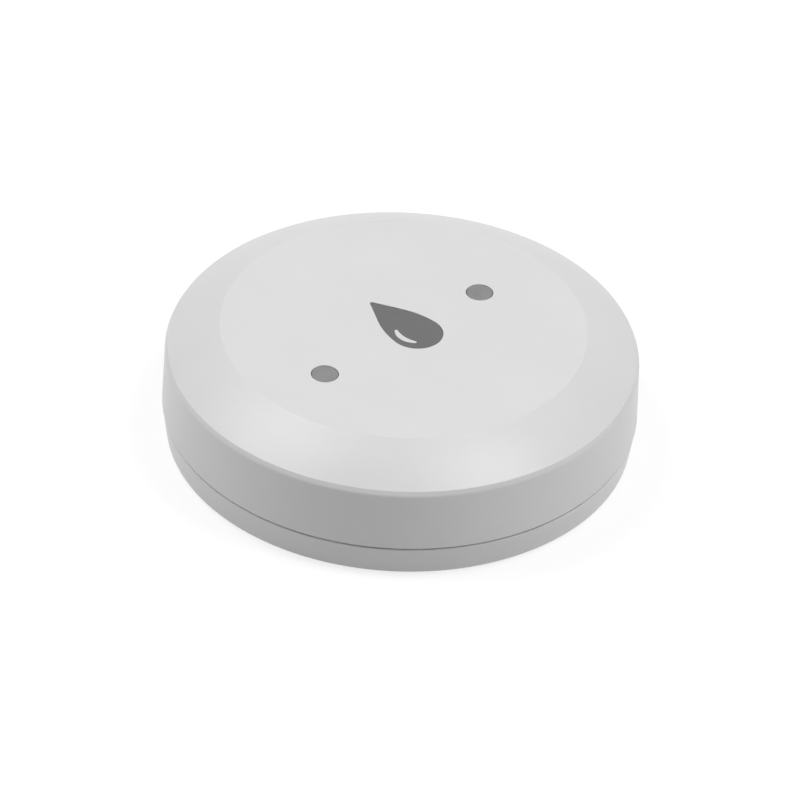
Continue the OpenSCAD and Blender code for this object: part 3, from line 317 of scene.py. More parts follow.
def make_camera():
    """Long-lens camera at the photograph's angle, with its small roll."""
    a, e = CAMERA_AZIMUTH, CAMERA_ELEVATION
    back = Vector((math.sin(a) * math.cos(e), -math.cos(a) * math.cos(e), math.sin(e)))
    level_right = Vector((math.cos(a), math.sin(a), 0.0))
    level_up = back.cross(level_right)
    right = math.cos(CAMERA_ROLL) * level_right + math.sin(CAMERA_ROLL) * level_up
    up = math.cos(CAMERA_ROLL) * level_up - math.sin(CAMERA_ROLL) * level_right
    place = AIM_POINT + CAMERA_DISTANCE * back + AIM_SHIFT_RIGHT * right + AIM_SHIFT_UP * up
    data = bpy.data.cameras.new("camera")
    data.sensor_width = SENSOR_MM
    data.lens = SENSOR_MM * FOCAL_PX / FRAME_PX
    data.clip_start = CAMERA_CLIP_START
    data.clip_end = CAMERA_CLIP_END
    camera = bpy.data.objects.new("camera", data)
    camera.matrix_world = Matrix((
        (right.x, up.x, back.x, place.x),
        (right.y, up.y, back.y, place.y),
        (right.z, up.z, back.z, place.z),
        (0.0, 0.0, 0.0, 1.0)))
    bpy.context.scene.collection.objects.link(camera)
    bpy.context.scene.camera = camera


def add_softbox(box):
    """Area lamp that shines on the middle of the object."""
    data = bpy.data.lights.new(box.name, "AREA")
    data.shape = "SQUARE"
    data.size = box.side
    data.energy = box.watts
    lamp = bpy.data.objects.new(box.name, data)
    turn = Matrix.Rotation(CAMERA_AZIMUTH, 3, "Z")
    towards = turn @ Vector(box.direction).normalized()
    lamp.location = AIM_POINT + LAMP_DISTANCE * towards
    lamp.rotation_mode = "QUATERNION"
    lamp.rotation_quaternion = towards.to_track_quat("Z", "Y")
    lamp.visible_camera = False
    lamp.visible_glossy = box.mirrored
    bpy.context.scene.collection.objects.link(lamp)


def direct_view(tree):
    """One for rays from the camera and for mirrored or refracted ones, else zero."""
    path = tree.nodes.new("ShaderNodeLightPath")
    seen = path.outputs["Is Camera Ray"]
    for ray in ("Is Glossy Ray", "Is Transmission Ray"):
        seen = calc(tree, "MAXIMUM", seen, path.outputs[ray])
    return seen


def mix_shaders(tree, mask, first, second):
    """The first shader where the mask is 0 and the second where it is 1."""
    node = tree.nodes.new("ShaderNodeMixShader")
    for socket, source in zip(node.inputs, (mask, first, second)):
        tree.links.new(source, socket)
    return node.outputs[0]


def white_world(tree, strength):
    """Plain white background."""
    node = tree.nodes.new("ShaderNodeBackground")
    node.inputs["Color"].default_value = WHITE
    node.inputs["Strength"].default_value = strength
    return node.outputs[0]


def make_world():
    """World that reads as white but adds only a little light."""
    world = bpy.data.worlds.new("studio")
    world.use_nodes = True
    tree = world.node_tree
    tree.nodes.clear()
    lit = white_world(tree, WORLD_LIGHT)
    seen = white_world(tree, WORLD_SEEN)
    out = tree.nodes.new("ShaderNodeOutputWorld")
    tree.links.new(mix_shaders(tree, direct_view(tree), lit, seen), out.inputs["Surface"])
    bpy.context.scene.world = world


def floor_glow(tree, place):
    """Glow that rises with the distance from the object as the lamps' light falls off."""
    reach = tree.nodes.new("ShaderNodeVectorMath")
    reach.operation = "LENGTH"
    tree.links.new(place, reach.inputs[0])
    rise = tree.nodes.new("ShaderNodeMapRange")
    rise.inputs["From Min"].default_value = FLOOR_NEAR
    rise.inputs["From Max"].default_value = FLOOR_FAR
    rise.inputs["To Min"].default_value = FLOOR_GLOW
    rise.inputs["To Max"].default_value = FLOOR_GLOW_FAR
    tree.links.new(reach.outputs["Value"], rise.inputs["Value"])
    return rise.outputs["Result"]


def floor_material():
    """Matt grey that glows for the camera and mirrors, and is clear from below."""
    mat = bpy.data.materials.new("floor")
    mat.use_nodes = True
    tree = mat.node_tree
    tree.nodes.clear()
    geometry = tree.nodes.new("ShaderNodeNewGeometry")
    matt = tree.nodes.new("ShaderNodeBsdfDiffuse")
    matt.inputs["Color"].default_value = (FLOOR_ALBEDO, FLOOR_ALBEDO, FLOOR_ALBEDO, 1.0)
    glow = tree.nodes.new("ShaderNodeEmission")
    seen = calc(tree, "MULTIPLY", direct_view(tree), floor_glow(tree, geometry.outputs["Position"]))
    tree.links.new(calc(tree, "ADD", seen, FLOOR_SHINE), glow.inputs["Strength"])
    above_floor = tree.nodes.new("ShaderNodeAddShader")
    tree.links.new(matt.outputs[0], above_floor.inputs[0])
    tree.links.new(glow.outputs[0], above_floor.inputs[1])
    below = tree.nodes.new("ShaderNodeBsdfTransparent")
    look = mix_shaders(tree, geometry.outputs["Backfacing"], above_floor.outputs[0], below.outputs[0])
    out = tree.nodes.new("ShaderNodeOutputMaterial")
    tree.links.new(look, out.inputs["Surface"])
    return mat


def make_floor():
    """Pale floor that reads as white, keeps the object's shadow and hides nothing from below."""
    half = FLOOR_SIZE / 2
    left, right = FLOOR_SHIFT - half, FLOOR_SHIFT + half
    corners = [(left, -half, 0.0), (right, -half, 0.0), (right, half, 0.0), (left, half, 0.0)]
    mesh = bpy.data.meshes.new("floor")
    mesh.from_pydata(corners, [], [(0, 1, 2, 3)])
    mesh.materials.append(floor_material())
    floor = bpy.data.objects.new("floor", mesh)
    bpy.context.scene.collection.objects.link(floor)


def new_material(name):
    """Material with a principled shader, its tree and the shader."""
    mat = bpy.data.materials.new(name)
    mat.use_nodes = True
    tree = mat.node_tree
    return mat, tree, tree.nodes["Principled BSDF"]


def object_coords(tree):
    """Place in the shared frame, in metres."""
    return tree.nodes.new("ShaderNodeTexCoord").outputs["Object"]


def split(tree):
    """The three parts of the place in the shared frame."""
    node = tree.nodes.new("ShaderNodeSeparateXYZ")
    tree.links.new(object_coords(tree), node.inputs[0])
    return node.outputs["X"], node.outputs["Y"], node.outputs["Z"]


def feed(tree, socket, value):
    """Sets an input to a number, or links another socket to it."""
    if isinstance(value, (int, float)):
        socket.default_value = value
    else:
        tree.links.new(value, socket)


def calc(tree, operation, a, b=0.0):
    """Result of a sum on numbers or sockets."""
    node = tree.nodes.new("ShaderNodeMath")
    node.operation = operation
    feed(tree, node.inputs[0], a)
    feed(tree, node.inputs[1], b)
    return node.outputs[0]


def distance_from(tree, value, middle_value):
    """Distance of a value from a middle, either way."""
    return calc(tree, "ABSOLUTE", calc(tree, "SUBTRACT", value, middle_value))


def between(tree, value, low, high):
    """Mask for a value between two limits."""
    over = calc(tree, "GREATER_THAN", value, low)
    under = calc(tree, "LESS_THAN", value, high)
    return calc(tree, "MULTIPLY", over, under)


def noise(tree, size, detail=DETAIL, stretch=EVEN):
    """Noise whose features are about size metres across, stretched along the axes."""
    scale = tree.nodes.new("ShaderNodeMapping")
    scale.inputs["Scale"].default_value = tuple(1.0 / s for s in stretch)
    tree.links.new(object_coords(tree), scale.inputs["Vector"])
    node = tree.nodes.new("ShaderNodeTexNoise")
    node.inputs["Scale"].default_value = 1.0 / size
    node.inputs["Detail"].default_value = detail
    tree.links.new(scale.outputs[0], node.inputs["Vector"])
    return node.outputs["Fac"]


def ramp(tree, source, places, colours):
    """Colour ramp through two colours at two places."""
    node = tree.nodes.new("ShaderNodeValToRGB")
    for element, place, colour in zip(node.color_ramp.elements, places, colours):
        element.position = place
        element.color = (*colour, 1.0)
    tree.links.new(source, node.inputs["Fac"])
    return node.outputs["Color"]


def tint(tree, patches, finish):
    """Colour that wavers between a finish's two."""
    return ramp(tree, patches, CLOUD_STOPS, (finish.dark, finish.light))


def sheen(tree, fine, finish, spread=ROUGH_SPREAD):
    """Roughness that wavers about a finish's own, held at both ends."""
    greys = [(finish.rough + way * spread,) * 3 for way in SIDES]
    return ramp(tree, fine, GRAIN_STOPS, greys)


def free_sheen(tree, fine, finish):
    """Roughness that follows the grain about a finish's own."""
    wave = calc(tree, "MULTIPLY", fine, 2 * ROUGH_SPREAD)
    return calc(tree, "ADD", wave, finish.rough - ROUGH_SPREAD)


def mix_values(tree, mask, a, b):
    """Value a where the mask is 0 and b where it is 1."""
    node = tree.nodes.new("ShaderNodeMix")
    node.data_type = "FLOAT"
    feed(tree, node.inputs["Factor"], mask)
    feed(tree, node.inputs["A"], a)
    feed(tree, node.inputs["B"], b)
    return node.outputs["Result"]


def mix_colours(tree, mask, a, b):
    """Colour a where the mask is 0 and b where it is 1."""
    node = tree.nodes.new("ShaderNodeMix")
    node.data_type = "RGBA"
    tree.links.new(mask, node.inputs["Factor"])
    tree.links.new(a, node.inputs[MIX_COLOUR_A])
    tree.links.new(b, node.inputs[MIX_COLOUR_B])
    return node.outputs[MIX_COLOUR_RESULT]


def bump(tree, source, distance, under=None):
    """Bump of a height map, in metres, over another bump."""
    node = tree.nodes.new("ShaderNodeBump")
    node.inputs["Distance"].default_value = distance
    tree.links.new(source, node.inputs["Height"])
    if under is not None:
        tree.links.new(under, node.inputs["Normal"])
    return node.outputs["Normal"]


def surface(name, finish, grain=MOULDED):
    """One finish: a faint cloudiness, a fine grain and a slightly uneven sheen."""
    mat, tree, shader = new_material(name)
    tree.links.new(tint(tree, noise(tree, CLOUD), finish), shader.inputs["Base Color"])
    fine = noise(tree, grain.size, stretch=grain.stretch)
    tree.links.new(sheen(tree, fine, finish), shader.inputs["Roughness"])
    tree.links.new(bump(tree, fine, grain.depth), shader.inputs["Normal"])
    shader.inputs["Metallic"].default_value = finish.metallic
    return mat


def zoned(name, mask_of, first, second, grain=SMALL_PART):
    """Two finishes on one piece, parted by a mask made from the place in the shared frame."""
    mat, tree, shader = new_material(name)
    mask = mask_of(tree)
    patches = noise(tree, CLOUD_SMALL_PART)
    colours = [tint(tree, patches, finish) for finish in (first, second)]
    tree.links.new(mix_colours(tree, mask, *colours), shader.inputs["Base Color"])
    fine = noise(tree, grain.size)
    sheens = [free_sheen(tree, fine, finish) for finish in (first, second)]
    tree.links.new(mix_values(tree, mask, *sheens), shader.inputs["Roughness"])
    tree.links.new(mix_values(tree, mask, first.metallic, second.metallic), shader.inputs["Metallic"])
    tree.links.new(bump(tree, fine, grain.depth), shader.inputs["Normal"])
    return mat


def radius_from(tree, centre, four_corners):
    """Distance from a centre that is mirrored across X, and across Y too where there are four."""
    x, y, _ = split(tree)
    run_x = calc(tree, "SUBTRACT", calc(tree, "ABSOLUTE", x), abs(centre.x))
    if four_corners:
        run_y = calc(tree, "SUBTRACT", calc(tree, "ABSOLUTE", y), abs(centre.y))
    else:
        run_y = calc(tree, "SUBTRACT", y, centre.y)
    squares = [calc(tree, "MULTIPLY", run, run) for run in (run_x, run_y)]
    return calc(tree, "SQRT", calc(tree, "ADD", *squares))


def turned(name, finish, centre, four_corners):
    """Turned metal: fine rings round a centre."""
    mat, tree, shader = new_material(name)
    radius = radius_from(tree, centre, four_corners)
    rings = calc(tree, "SINE", calc(tree, "MULTIPLY", radius, 2 * math.pi / TURNED_PITCH))
    tree.links.new(tint(tree, noise(tree, CLOUD_TURNED), finish), shader.inputs["Base Color"])
    fine = noise(tree, TURNED.size, DETAIL_FINE)
    tree.links.new(sheen(tree, fine, finish, ROUGH_SPREAD_TURNED), shader.inputs["Roughness"])
    grainy = bump(tree, fine, TURNED.depth)
    tree.links.new(bump(tree, rings, TURNED.depth, grainy), shader.inputs["Normal"])
    shader.inputs["Metallic"].default_value = finish.metallic
    return mat


def clear_plastic(name, finish):
    """Clear moulded plastic with faint flow marks."""
    mat = surface(name, finish, FLOW_MARKS)
    shader = mat.node_tree.nodes["Principled BSDF"]
    shader.inputs["Transmission Weight"].default_value = CLEAR_TRANSMISSION
    shader.inputs["IOR"].default_value = CLEAR_IOR
    return mat


def above(name, height):
    """Mask for what lies more than a height above a CAD node's lowest point."""
    return lambda tree: calc(tree, "GREATER_THAN", split(tree)[2], bottom_of(name) + height)


def on_edge(tree):
    """Mask for upright faces."""
    node = tree.nodes.new("ShaderNodeSeparateXYZ")
    tree.links.new(tree.nodes.new("ShaderNodeNewGeometry").outputs["True Normal"], node.inputs[0])
    return calc(tree, "LESS_THAN", calc(tree, "ABSOLUTE", node.outputs["Z"]), UPRIGHT_RISE)


def chip_leads(tree):
    """Mask for the leads round the controller chip's body."""
    chip = middle("controller_chip")
    x, y, _ = split(tree)
    reach = calc(tree, "MAXIMUM", distance_from(tree, x, chip.x), distance_from(tree, y, chip.y))
    return calc(tree, "GREATER_THAN", reach, half_size("controller_chip").x - CHIP_LEAD_REACH)


def module_pads(tree):
    """Mask for the plated half-round pads along the radio module's edges."""
    radio, half = middle("radio_module"), half_size("radio_module")
    rows = [y for _, _, y in radio_pads()]
    first, last = min(rows), max(rows)
    x, y, _ = split(tree)
    near_side = calc(tree, "GREATER_THAN", distance_from(tree, x, radio.x), half.x - RADIO_PLATING_REACH)
    beat = calc(tree, "PINGPONG", calc(tree, "SUBTRACT", y, first), RADIO_PAD_PITCH / 2)
    in_beat = calc(tree, "LESS_THAN", beat, RADIO_PLATING_HALF)
    from_middle = distance_from(tree, y, (first + last) / 2)
    in_row = calc(tree, "LESS_THAN", from_middle, (last - first) / 2 + RADIO_PLATING_END)
    return calc(tree, "MULTIPLY", near_side, calc(tree, "MULTIPLY", in_beat, in_row))


def switch_metal(tree):
    """Mask for the switch's top plate and legs."""
    foot = bottom_of("switch_body")
    x, _, z = split(tree)
    plate = between(tree, z, foot + SWITCH_PLATE_FROM, foot + SWITCH_PLATE_TO)
    from_middle = distance_from(tree, x, middle("switch_body").x)
    legs = calc(tree, "GREATER_THAN", from_middle, SWITCH_LEGS_FROM)
    return calc(tree, "MAXIMUM", plate, legs)


def sleeve_band(end_y):
    """Mask for the pale band near a cell's nub and the thin line past it."""
    def mask(tree):
        _, y, _ = split(tree)
        along = distance_from(tree, y, end_y)
        band = between(tree, along, SLEEVE_BAND_FROM, SLEEVE_BAND_TO)
        line = calc(tree, "LESS_THAN", distance_from(tree, along, SLEEVE_LINE_AT), SLEEVE_LINE_HALF)
        return calc(tree, "MAXIMUM", band, line)
    return mask


def passive_material():
    """Small parts: tan or dark bodies by row, with tinned ends."""
    mat, tree, shader = new_material("passives")
    centre = middle("board_passives")
    x, y, _ = split(tree)
    beat = calc(tree, "PINGPONG", calc(tree, "SUBTRACT", x, centre.x), PASSIVE_PITCH / 2)
    ends = calc(tree, "GREATER_THAN", beat, PASSIVE_BODY_HALF)
    row = calc(tree, "GREATER_THAN", y, centre.y)
    patches = noise(tree, CLOUD_PASSIVE)
    dark, tan, tin = (tint(tree, patches, finish) for finish in (CERAMIC_DARK, CERAMIC_TAN, TIN))
    body = mix_colours(tree, row, dark, tan)
    tree.links.new(mix_colours(tree, ends, body, tin), shader.inputs["Base Color"])
    tree.links.new(mix_values(tree, ends, CERAMIC_TAN.metallic, TIN.metallic), shader.inputs["Metallic"])
    fine = noise(tree, FIRED.size, DETAIL_FINE)
    body_rough = free_sheen(tree, fine, CERAMIC_TAN)
    tree.links.new(mix_values(tree, ends, body_rough, PASSIVE_END_ROUGH), shader.inputs["Roughness"])
    tree.links.new(bump(tree, fine, FIRED.depth), shader.inputs["Normal"])
    return mat


def dress(mat, *names):
    """Gives CAD nodes a material."""
    for name in names:
        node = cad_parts[name]
        node.data.materials.clear()
        node.data.materials.append(mat)


class Shape:
    """Vertices and faces gathered for one mesh."""

    def __init__(self):
        self.verts = []
        self.faces = []

    def add(self, verts, faces):
        """Adds a closed form."""
        first = len(self.verts)
        self.verts += [tuple(v) for v in verts]
        self.faces += [tuple(first + i for i in face) for face in faces]

    def prism(self, outline, low, high):
        """Upright prism on an outline of (x, y)."""
        n = len(outline)
        verts = [(x, y, low) for x, y in outline] + [(x, y, high) for x, y in outline]
        sides = [(i, (i + 1) % n, n + (i + 1) % n, n + i) for i in range(n)]
        self.add(verts, [tuple(range(n))[::-1], tuple(range(n, 2 * n))] + sides)

    def lathe(self, profile, place, steps=LATHE_STEPS):
        """Closed ring from a closed profile of (radius, along); place maps x, y and along to the frame."""
        n = len(profile)
        verts = []
        for k in range(steps):
            turn = 2 * math.pi * k / steps
            verts += [place(r * math.cos(turn), r * math.sin(turn), along) for r, along in profile]
        faces = []
        for k in range(steps):
            a, b = k * n, (k + 1) % steps * n
            faces += [(a + i, b + i, b + (i + 1) % n, a + (i + 1) % n) for i in range(n)]
        self.add(verts, faces)

    def dome(self, x, y, z, size):
        """Solder dome of half widths and height size = (x, y, z), standing at a point."""
        steps, levels = DOME_STEPS, DOME_LEVELS
        verts = [(x, y, z + size[2])]
        for level in range(1, levels + 1):
            tilt = math.pi / 2 * level / levels
            wide, high = math.sin(tilt), math.cos(tilt)
            for k in range(steps):
                turn = 2 * math.pi * k / steps
                verts.append((
                    x + size[0] * wide * math.cos(turn),
                    y + size[1] * wide * math.sin(turn),
                    z + size[2] * high))
        faces = [(0, 1 + k, 1 + (k + 1) % steps) for k in range(steps)]
        for level in range(levels - 1):
            a, b = 1 + level * steps, 1 + (level + 1) * steps
            faces += [(a + k, b + k, b + (k + 1) % steps, a + (k + 1) % steps) for k in range(steps)]
        last = 1 + (levels - 1) * steps
        faces.append(tuple(range(last, last + steps))[::-1])
        self.add(verts, faces)

    def tube(self, line, radius):
        """Round wire along a line of points."""
        verts, faces = [], []
        n, sides = len(line), WIRE_SIDES
        side = None
        for i, point in enumerate(line):
            along = (line[min(i + 1, n - 1)] - line[max(i - 1, 0)]).normalized()
            guess = side if side else along.orthogonal()
            side = (guess - guess.dot(along) * along).normalized()
            up = along.cross(side)
            for k in range(sides):
                turn = 2 * math.pi * k / sides
                verts.append(point + radius * (math.cos(turn) * side + math.sin(turn) * up))
        for i in range(n - 1):
            a, b = i * sides, (i + 1) * sides
            faces += [(a + k, a + (k + 1) % sides, b + (k + 1) % sides, b + k) for k in range(sides)]
        faces.append(tuple(range(sides))[::-1])
        faces.append(tuple(range((n - 1) * sides, n * sides)))
        self.add(verts, faces)

    def piece(self, name, mat, body, slot, sharp=SHARP_ANGLE):
        """The gathered forms as one mesh piece that rides on a body."""
        mesh = bpy.data.meshes.new(name)
        mesh.from_pydata(self.verts, [], self.faces)
        form = bmesh.new()
        form.from_mesh(mesh)
        bmesh.ops.recalc_face_normals(form, faces=form.faces)
        form.to_mesh(mesh)
        form.free()
        mesh.shade_smooth()
        mesh.set_sharp_from_angle(angle=math.radians(sharp))
        mesh.materials.append(mat)
        piece = bpy.data.objects.new(name, mesh)
        bpy.context.scene.collection.objects.link(piece)
        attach(piece, body)
        return piece


class Layer(Shape):
    """Flat forms that lie on the board, sunk a little into it."""

    def __init__(self, height):
        super().__init__()
        self.low = top_of("circuit_board") - SINK
        self.high = top_of("circuit_board") + height

    def block(self, x, y, w, l):
        """Rectangle about a middle."""
        left, right = x - w / 2, x + w / 2
        near, far = y - l / 2, y + l / 2
        self.prism([(left, near), (right, near), (right, far), (left, far)], self.low, self.high)

    def ring(self, x, y, radii, rise=0.0):
        """Ring with a square section, which may stand out above the layer."""
        inner, outer = radii
        high = self.high + rise
        profile = [(inner, self.low), (outer, self.low), (outer, high), (inner, high)]
        self.lathe(profile, lambda out_x, out_y, z: (x + out_x, y + out_y, z), RING_STEPS)

    def track(self, points, width):
        """Straight bars from point to point."""
        for start, end in zip(points, points[1:]):
            self.prism(bar(start, end, width), self.low, self.high)

    def via(self, x, y):
        """Plated hole at the end of a track."""
        self.ring(x, y, VIA, VIA_RISE)


def bar(start, end, width):
    """Outline of a straight bar with square ends that reach half a width past its points."""
    a, b = Vector(start), Vector(end)
    along = (b - a).normalized() * width / 2
    across = Vector((-along.y, along.x))
    corners = (a - along - across, b + along - across, b + along + across, a - along + across)
    return [tuple(c) for c in corners]


def middle(name):
    """Middle of a CAD node's box."""
    low, high = (Vector(corner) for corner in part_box(name))
    return (low + high) / 2


def half_size(name):
    """Half of the size of a CAD node's box."""
    low, high = (Vector(corner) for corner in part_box(name))
    return (high - low) / 2


def bottom_of(name):
    """Height of a CAD node's lowest point."""
    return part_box(name)[0][2]


def top_of(name):
    """Height of a CAD node's highest point."""
    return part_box(name)[1][2]


def coil(turns, wide, slim, length, settle):
    """Middle line of a coil whose last part-turn at each end lies nearly flat."""
    total = int(turns * SPRING_STEPS)
    rises = []
    for i in range(total + 1):
        from_end = min(i, total - i) / SPRING_STEPS
        rises.append(min(1.0, END_PITCH + from_end / settle))
    heights = [0.0]
    for i in range(total):
        heights.append(heights[-1] + (rises[i] + rises[i + 1]) / 2)
    line = []
    for i, height in enumerate(heights):
        share = height / heights[-1]
        turn = 2 * math.pi * i / SPRING_STEPS
        r = wide + (slim - wide) * i / total
        line.append(Vector((r * math.cos(turn), r * math.sin(turn), length * share)))
    return line


def add_wire(name, line, radius, mat, node):
    """Smooth wire in place of a faceted spring."""
    shape = Shape()
    shape.tube(line, radius)
    wire = shape.piece(name, mat, "base", "spring_steel")
    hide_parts(node)


def add_contact_springs(mat):
    """Upright springs under the drip contacts."""
    for k in (1, 2):
        node = f"contact_spring_{k}"
        foot = middle(f"drip_contact_{k}")
        foot.z = bottom_of(node) + CONTACT_WIRE_R
        length = top_of(node) - CONTACT_WIRE_R - foot.z
        line = coil(CONTACT_TURNS, CONTACT_COIL_R, CONTACT_COIL_R, length, CONTACT_SETTLE)
        add_wire(f"contact_wire_{k}", [foot + p for p in line], CONTACT_WIRE_R, mat, node)


def add_cell_springs(mat):
    """Cone-shaped springs at the flat ends of the cells."""
    for k, facing in CELLS:
        node = f"battery_spring_{k}"
        cell = middle(f"battery_{k}")
        low, high = (corner[1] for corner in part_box(node))
        foot_y = high - CELL_WIRE_R if facing < 0 else low + CELL_WIRE_R
        length = high - low - 2 * CELL_WIRE_R
        line = coil(CELL_TURNS, CELL_COIL_WIDE, CELL_COIL_SLIM, length, CELL_SETTLE)
        turned_line = [Vector((cell.x + p.x, foot_y + facing * p.z, cell.z + p.y)) for p in line]
        add_wire(f"battery_wire_{k}", turned_line, CELL_WIRE_R, mat, node)


def add_sleeves(washer_mat):
    """Shrunk sleeve and nub washer on each cell."""
    for k, facing in CELLS:
        cell, half = middle(f"battery_{k}"), half_size(f"battery_{k}")
        end_y = cell.y + facing * half.y

        def place(x, z, along):
            return (cell.x + x, end_y - facing * along, cell.z + z)

        face, back = NUB_H - SLEEVE_RISE, 2 * half.y + SLEEVE_RISE
        profile = [
            (half.x + out * MM, start + run * MM)
            for start, points in ((face, SLEEVE_NUB_END), (back, SLEEVE_FLAT_END), (face, SLEEVE_INSIDE))
            for out, run in points]
        sleeve = Shape()
        sleeve.lathe(profile, place, SLEEVE_STEPS)
        film = zoned(f"sleeve_{k}", sleeve_band(end_y), SLEEVE_MAIN, SLEEVE_BAND, SHRUNK_FILM)
        sleeve.piece(f"cell_sleeve_{k}", film, "base", "cell", SLEEVE_SHARP_ANGLE)
        washer = Shape()
        washer.lathe([(r * MM, NUB_H + run * MM) for r, run in WASHER], place)
        washer.piece(f"cell_washer_{k}", washer_mat, "base", "cell")


def passive_places():
    """Middles of the six small parts."""
    centre = middle("board_passives")
    return [(centre.x + column * PASSIVE_PITCH, centre.y + row * PASSIVE_PITCH / 2)
            for row in SIDES for column in (-1, 0, 1)]


def passive_ends(reach):
    """Points to both sides of each small part."""
    return [(x + side * reach, y) for x, y in passive_places() for side in SIDES]


def radio_pads():
    """Middles of the radio module's edge pads: side, x and y of each."""
    can, radio, half = middle("radio_shield"), middle("radio_module"), half_size("radio_module")
    count = int(2 * half_size("radio_shield").y / RADIO_PAD_PITCH + ROUNDING)
    first = can.y - (count - 1) * RADIO_PAD_PITCH / 2
    return [(side, radio.x + side * half.x, first + k * RADIO_PAD_PITCH)
            for side in SIDES for k in range(count)]


def lead_run(k):
    """Place of one of the controller chip's leads along its side."""
    return (k - (LEADS - 1) / 2) * LEAD_PITCH


def led_ends(reach):
    """Points at both ends of the status light."""
    led = middle("status_led")
    return [(led.x, led.y + end * reach) for end in SIDES]


def switch_legs(inset):
    """Points on the switch's four legs."""
    switch, half = middle("switch_body"), half_size("switch_body")
    return [(switch.x + side * (half.x - inset), switch.y + end * LEG_Y) for side in SIDES for end in SIDES]


def probes():
    """Names of the four floor probes."""
    return [f"floor_probe_{k}" for k in range(1, 5)]


def add_pads(mat):
    """Bare pads for the springs, screws, leads, legs and small parts."""
    layer = Layer(PAD_H)
    for k in (1, 2):
        contact = middle(f"drip_contact_{k}")
        layer.ring(contact.x, contact.y, CONTACT_PAD)
    for name in probes():
        probe = middle(name)
        layer.ring(probe.x, probe.y, SCREW_PAD)
    for x, y in passive_ends(PASSIVE_PAD_X):
        layer.block(x, y, *PASSIVE_PAD)
    for side, x, y in radio_pads():
        layer.block(x + side * RADIO_PAD_OUT, y, *RADIO_PAD)
    chip = middle("controller_chip")
    reach = half_size("controller_chip").x - LEAD_PAD_IN
    for run in map(lead_run, range(LEADS)):
        for side in SIDES:
            layer.block(chip.x + side * reach, chip.y + run, LEAD_PAD_L, LEAD_PAD_W)
            layer.block(chip.x + run, chip.y + side * reach, LEAD_PAD_W, LEAD_PAD_L)
    for x, y in switch_legs(0.0):
        layer.block(x, y, *LEG_PAD)
    for x, y in led_ends(LED_PAD_Y):
        layer.block(x, y, *LED_PAD)
    layer.piece("board_pads", mat, "base", "copper")


def add_solder(mat):
    """Solder on the pads of the small parts, the radio module, the light and the switch."""
    shape = Shape()
    z = top_of("circuit_board") - SINK
    for x, y in passive_ends(PASSIVE_SOLDER_X):
        shape.dome(x, y, z, PASSIVE_SOLDER)
    for side, x, y in radio_pads():
        shape.dome(x + side * RADIO_SOLDER_OUT, y, z, RADIO_SOLDER)
    for x, y in led_ends(LED_SOLDER_Y):
        shape.dome(x, y, z, LED_SOLDER)
    for x, y in switch_legs(LEG_SOLDER_IN):
        shape.dome(x, y, z, LEG_SOLDER)
    shape.piece("board_solder", mat, "base", "plated_steel")


def print_frame(layer, name, margin_x, margin_y):
    """Printed frame round a part."""
    centre, half = middle(name), half_size(name)
    x, y = half.x + margin_x, half.y + margin_y
    signs = ((-1, -1), (1, -1), (1, 1), (-1, 1))
    corners = [Vector((centre.x + sign_x * x, centre.y + sign_y * y)) for sign_x, sign_y in signs]
    for start, end in zip(corners, corners[1:] + corners[:1]):
        trim = (end - start).normalized() * SILK_LINE
        layer.track([start + trim, end - trim], SILK_LINE)


def print_poles(layer):
    """Plus and minus marks at the ends of the cells."""
    end_y = half_size("battery_holder").y + POLE_PAST_HOLDER
    for k, facing in CELLS:
        x = middle(f"battery_{k}").x
        plus, minus = facing * end_y, -facing * end_y
        layer.track([(x - POLE_ARM, plus), (x + POLE_ARM, plus)], POLE_LINE)
        for side in SIDES:
            layer.track([(x, plus + side * POLE_GAP), (x, plus + side * POLE_ARM)], POLE_LINE)
        layer.track([(x - POLE_ARM, minus), (x + POLE_ARM, minus)], POLE_LINE)


def add_print(mat):
    """Printed frames and marks on the board."""
    layer = Layer(SILK_H)
    for part in SILK_FRAMES:
        print_frame(layer, *part)
    chip, half = middle("controller_chip"), half_size("controller_chip")
    layer.ring(chip.x - half.x - SILK_DOT_LEFT, chip.y + half.y + SILK_DOT_UP, SILK_DOT)
    print_poles(layer)
    layer.piece("board_print", mat, "base", "board")


def radio_tracks(layer, wall_x):
    """Tracks from the radio module to the cell holder, and stubs with vias on its outer side."""
    for side, x, y in radio_pads():
        start = (x + side * RADIO_TRACK_FROM, y)
        if side > 0:
            bend, row = x + RADIO_BEND, y - RADIO_JOG
            layer.track([start, (bend, y), (bend + RADIO_JOG, row), (-wall_x, row)], RADIO_TRACK_W)
        else:
            end = (x - RADIO_STUB_END, y + RADIO_STUB_JOG)
            layer.track([start, (x - RADIO_STUB_BEND, y), end], RADIO_TRACK_W)
            layer.via(x - RADIO_VIA_OUT, y + RADIO_VIA_UP)


def chip_tracks(layer, wall_x):
    """Tracks that fan out from the chip's right side, and some from its left to the cell holder."""
    chip, reach = middle("controller_chip"), half_size("controller_chip").x
    right, left = chip.x + reach, chip.x - reach
    for k in range(LEADS):
        y = chip.y + lead_run(k)
        row = y + lead_run(k) * FAN_SPREAD
        stagger = FAN_STAGGER * (k % 2)
        end = (right + FAN_END + stagger, row)
        layer.track([(right, y), (right + FAN_FROM, y), (right + FAN_TO, row), end], LEAD_TRACK_W)
        layer.via(right + FAN_VIA + stagger, row)
    for k in range(LEFT_LEADS):
        y = chip.y + lead_run(k)
        bend = left - LEFT_STEP * (k + 1)
        row = y - LEFT_JOG
        layer.track([(left, y), (bend, y), (bend - LEFT_JOG, row), (wall_x, row)], LEAD_TRACK_W)


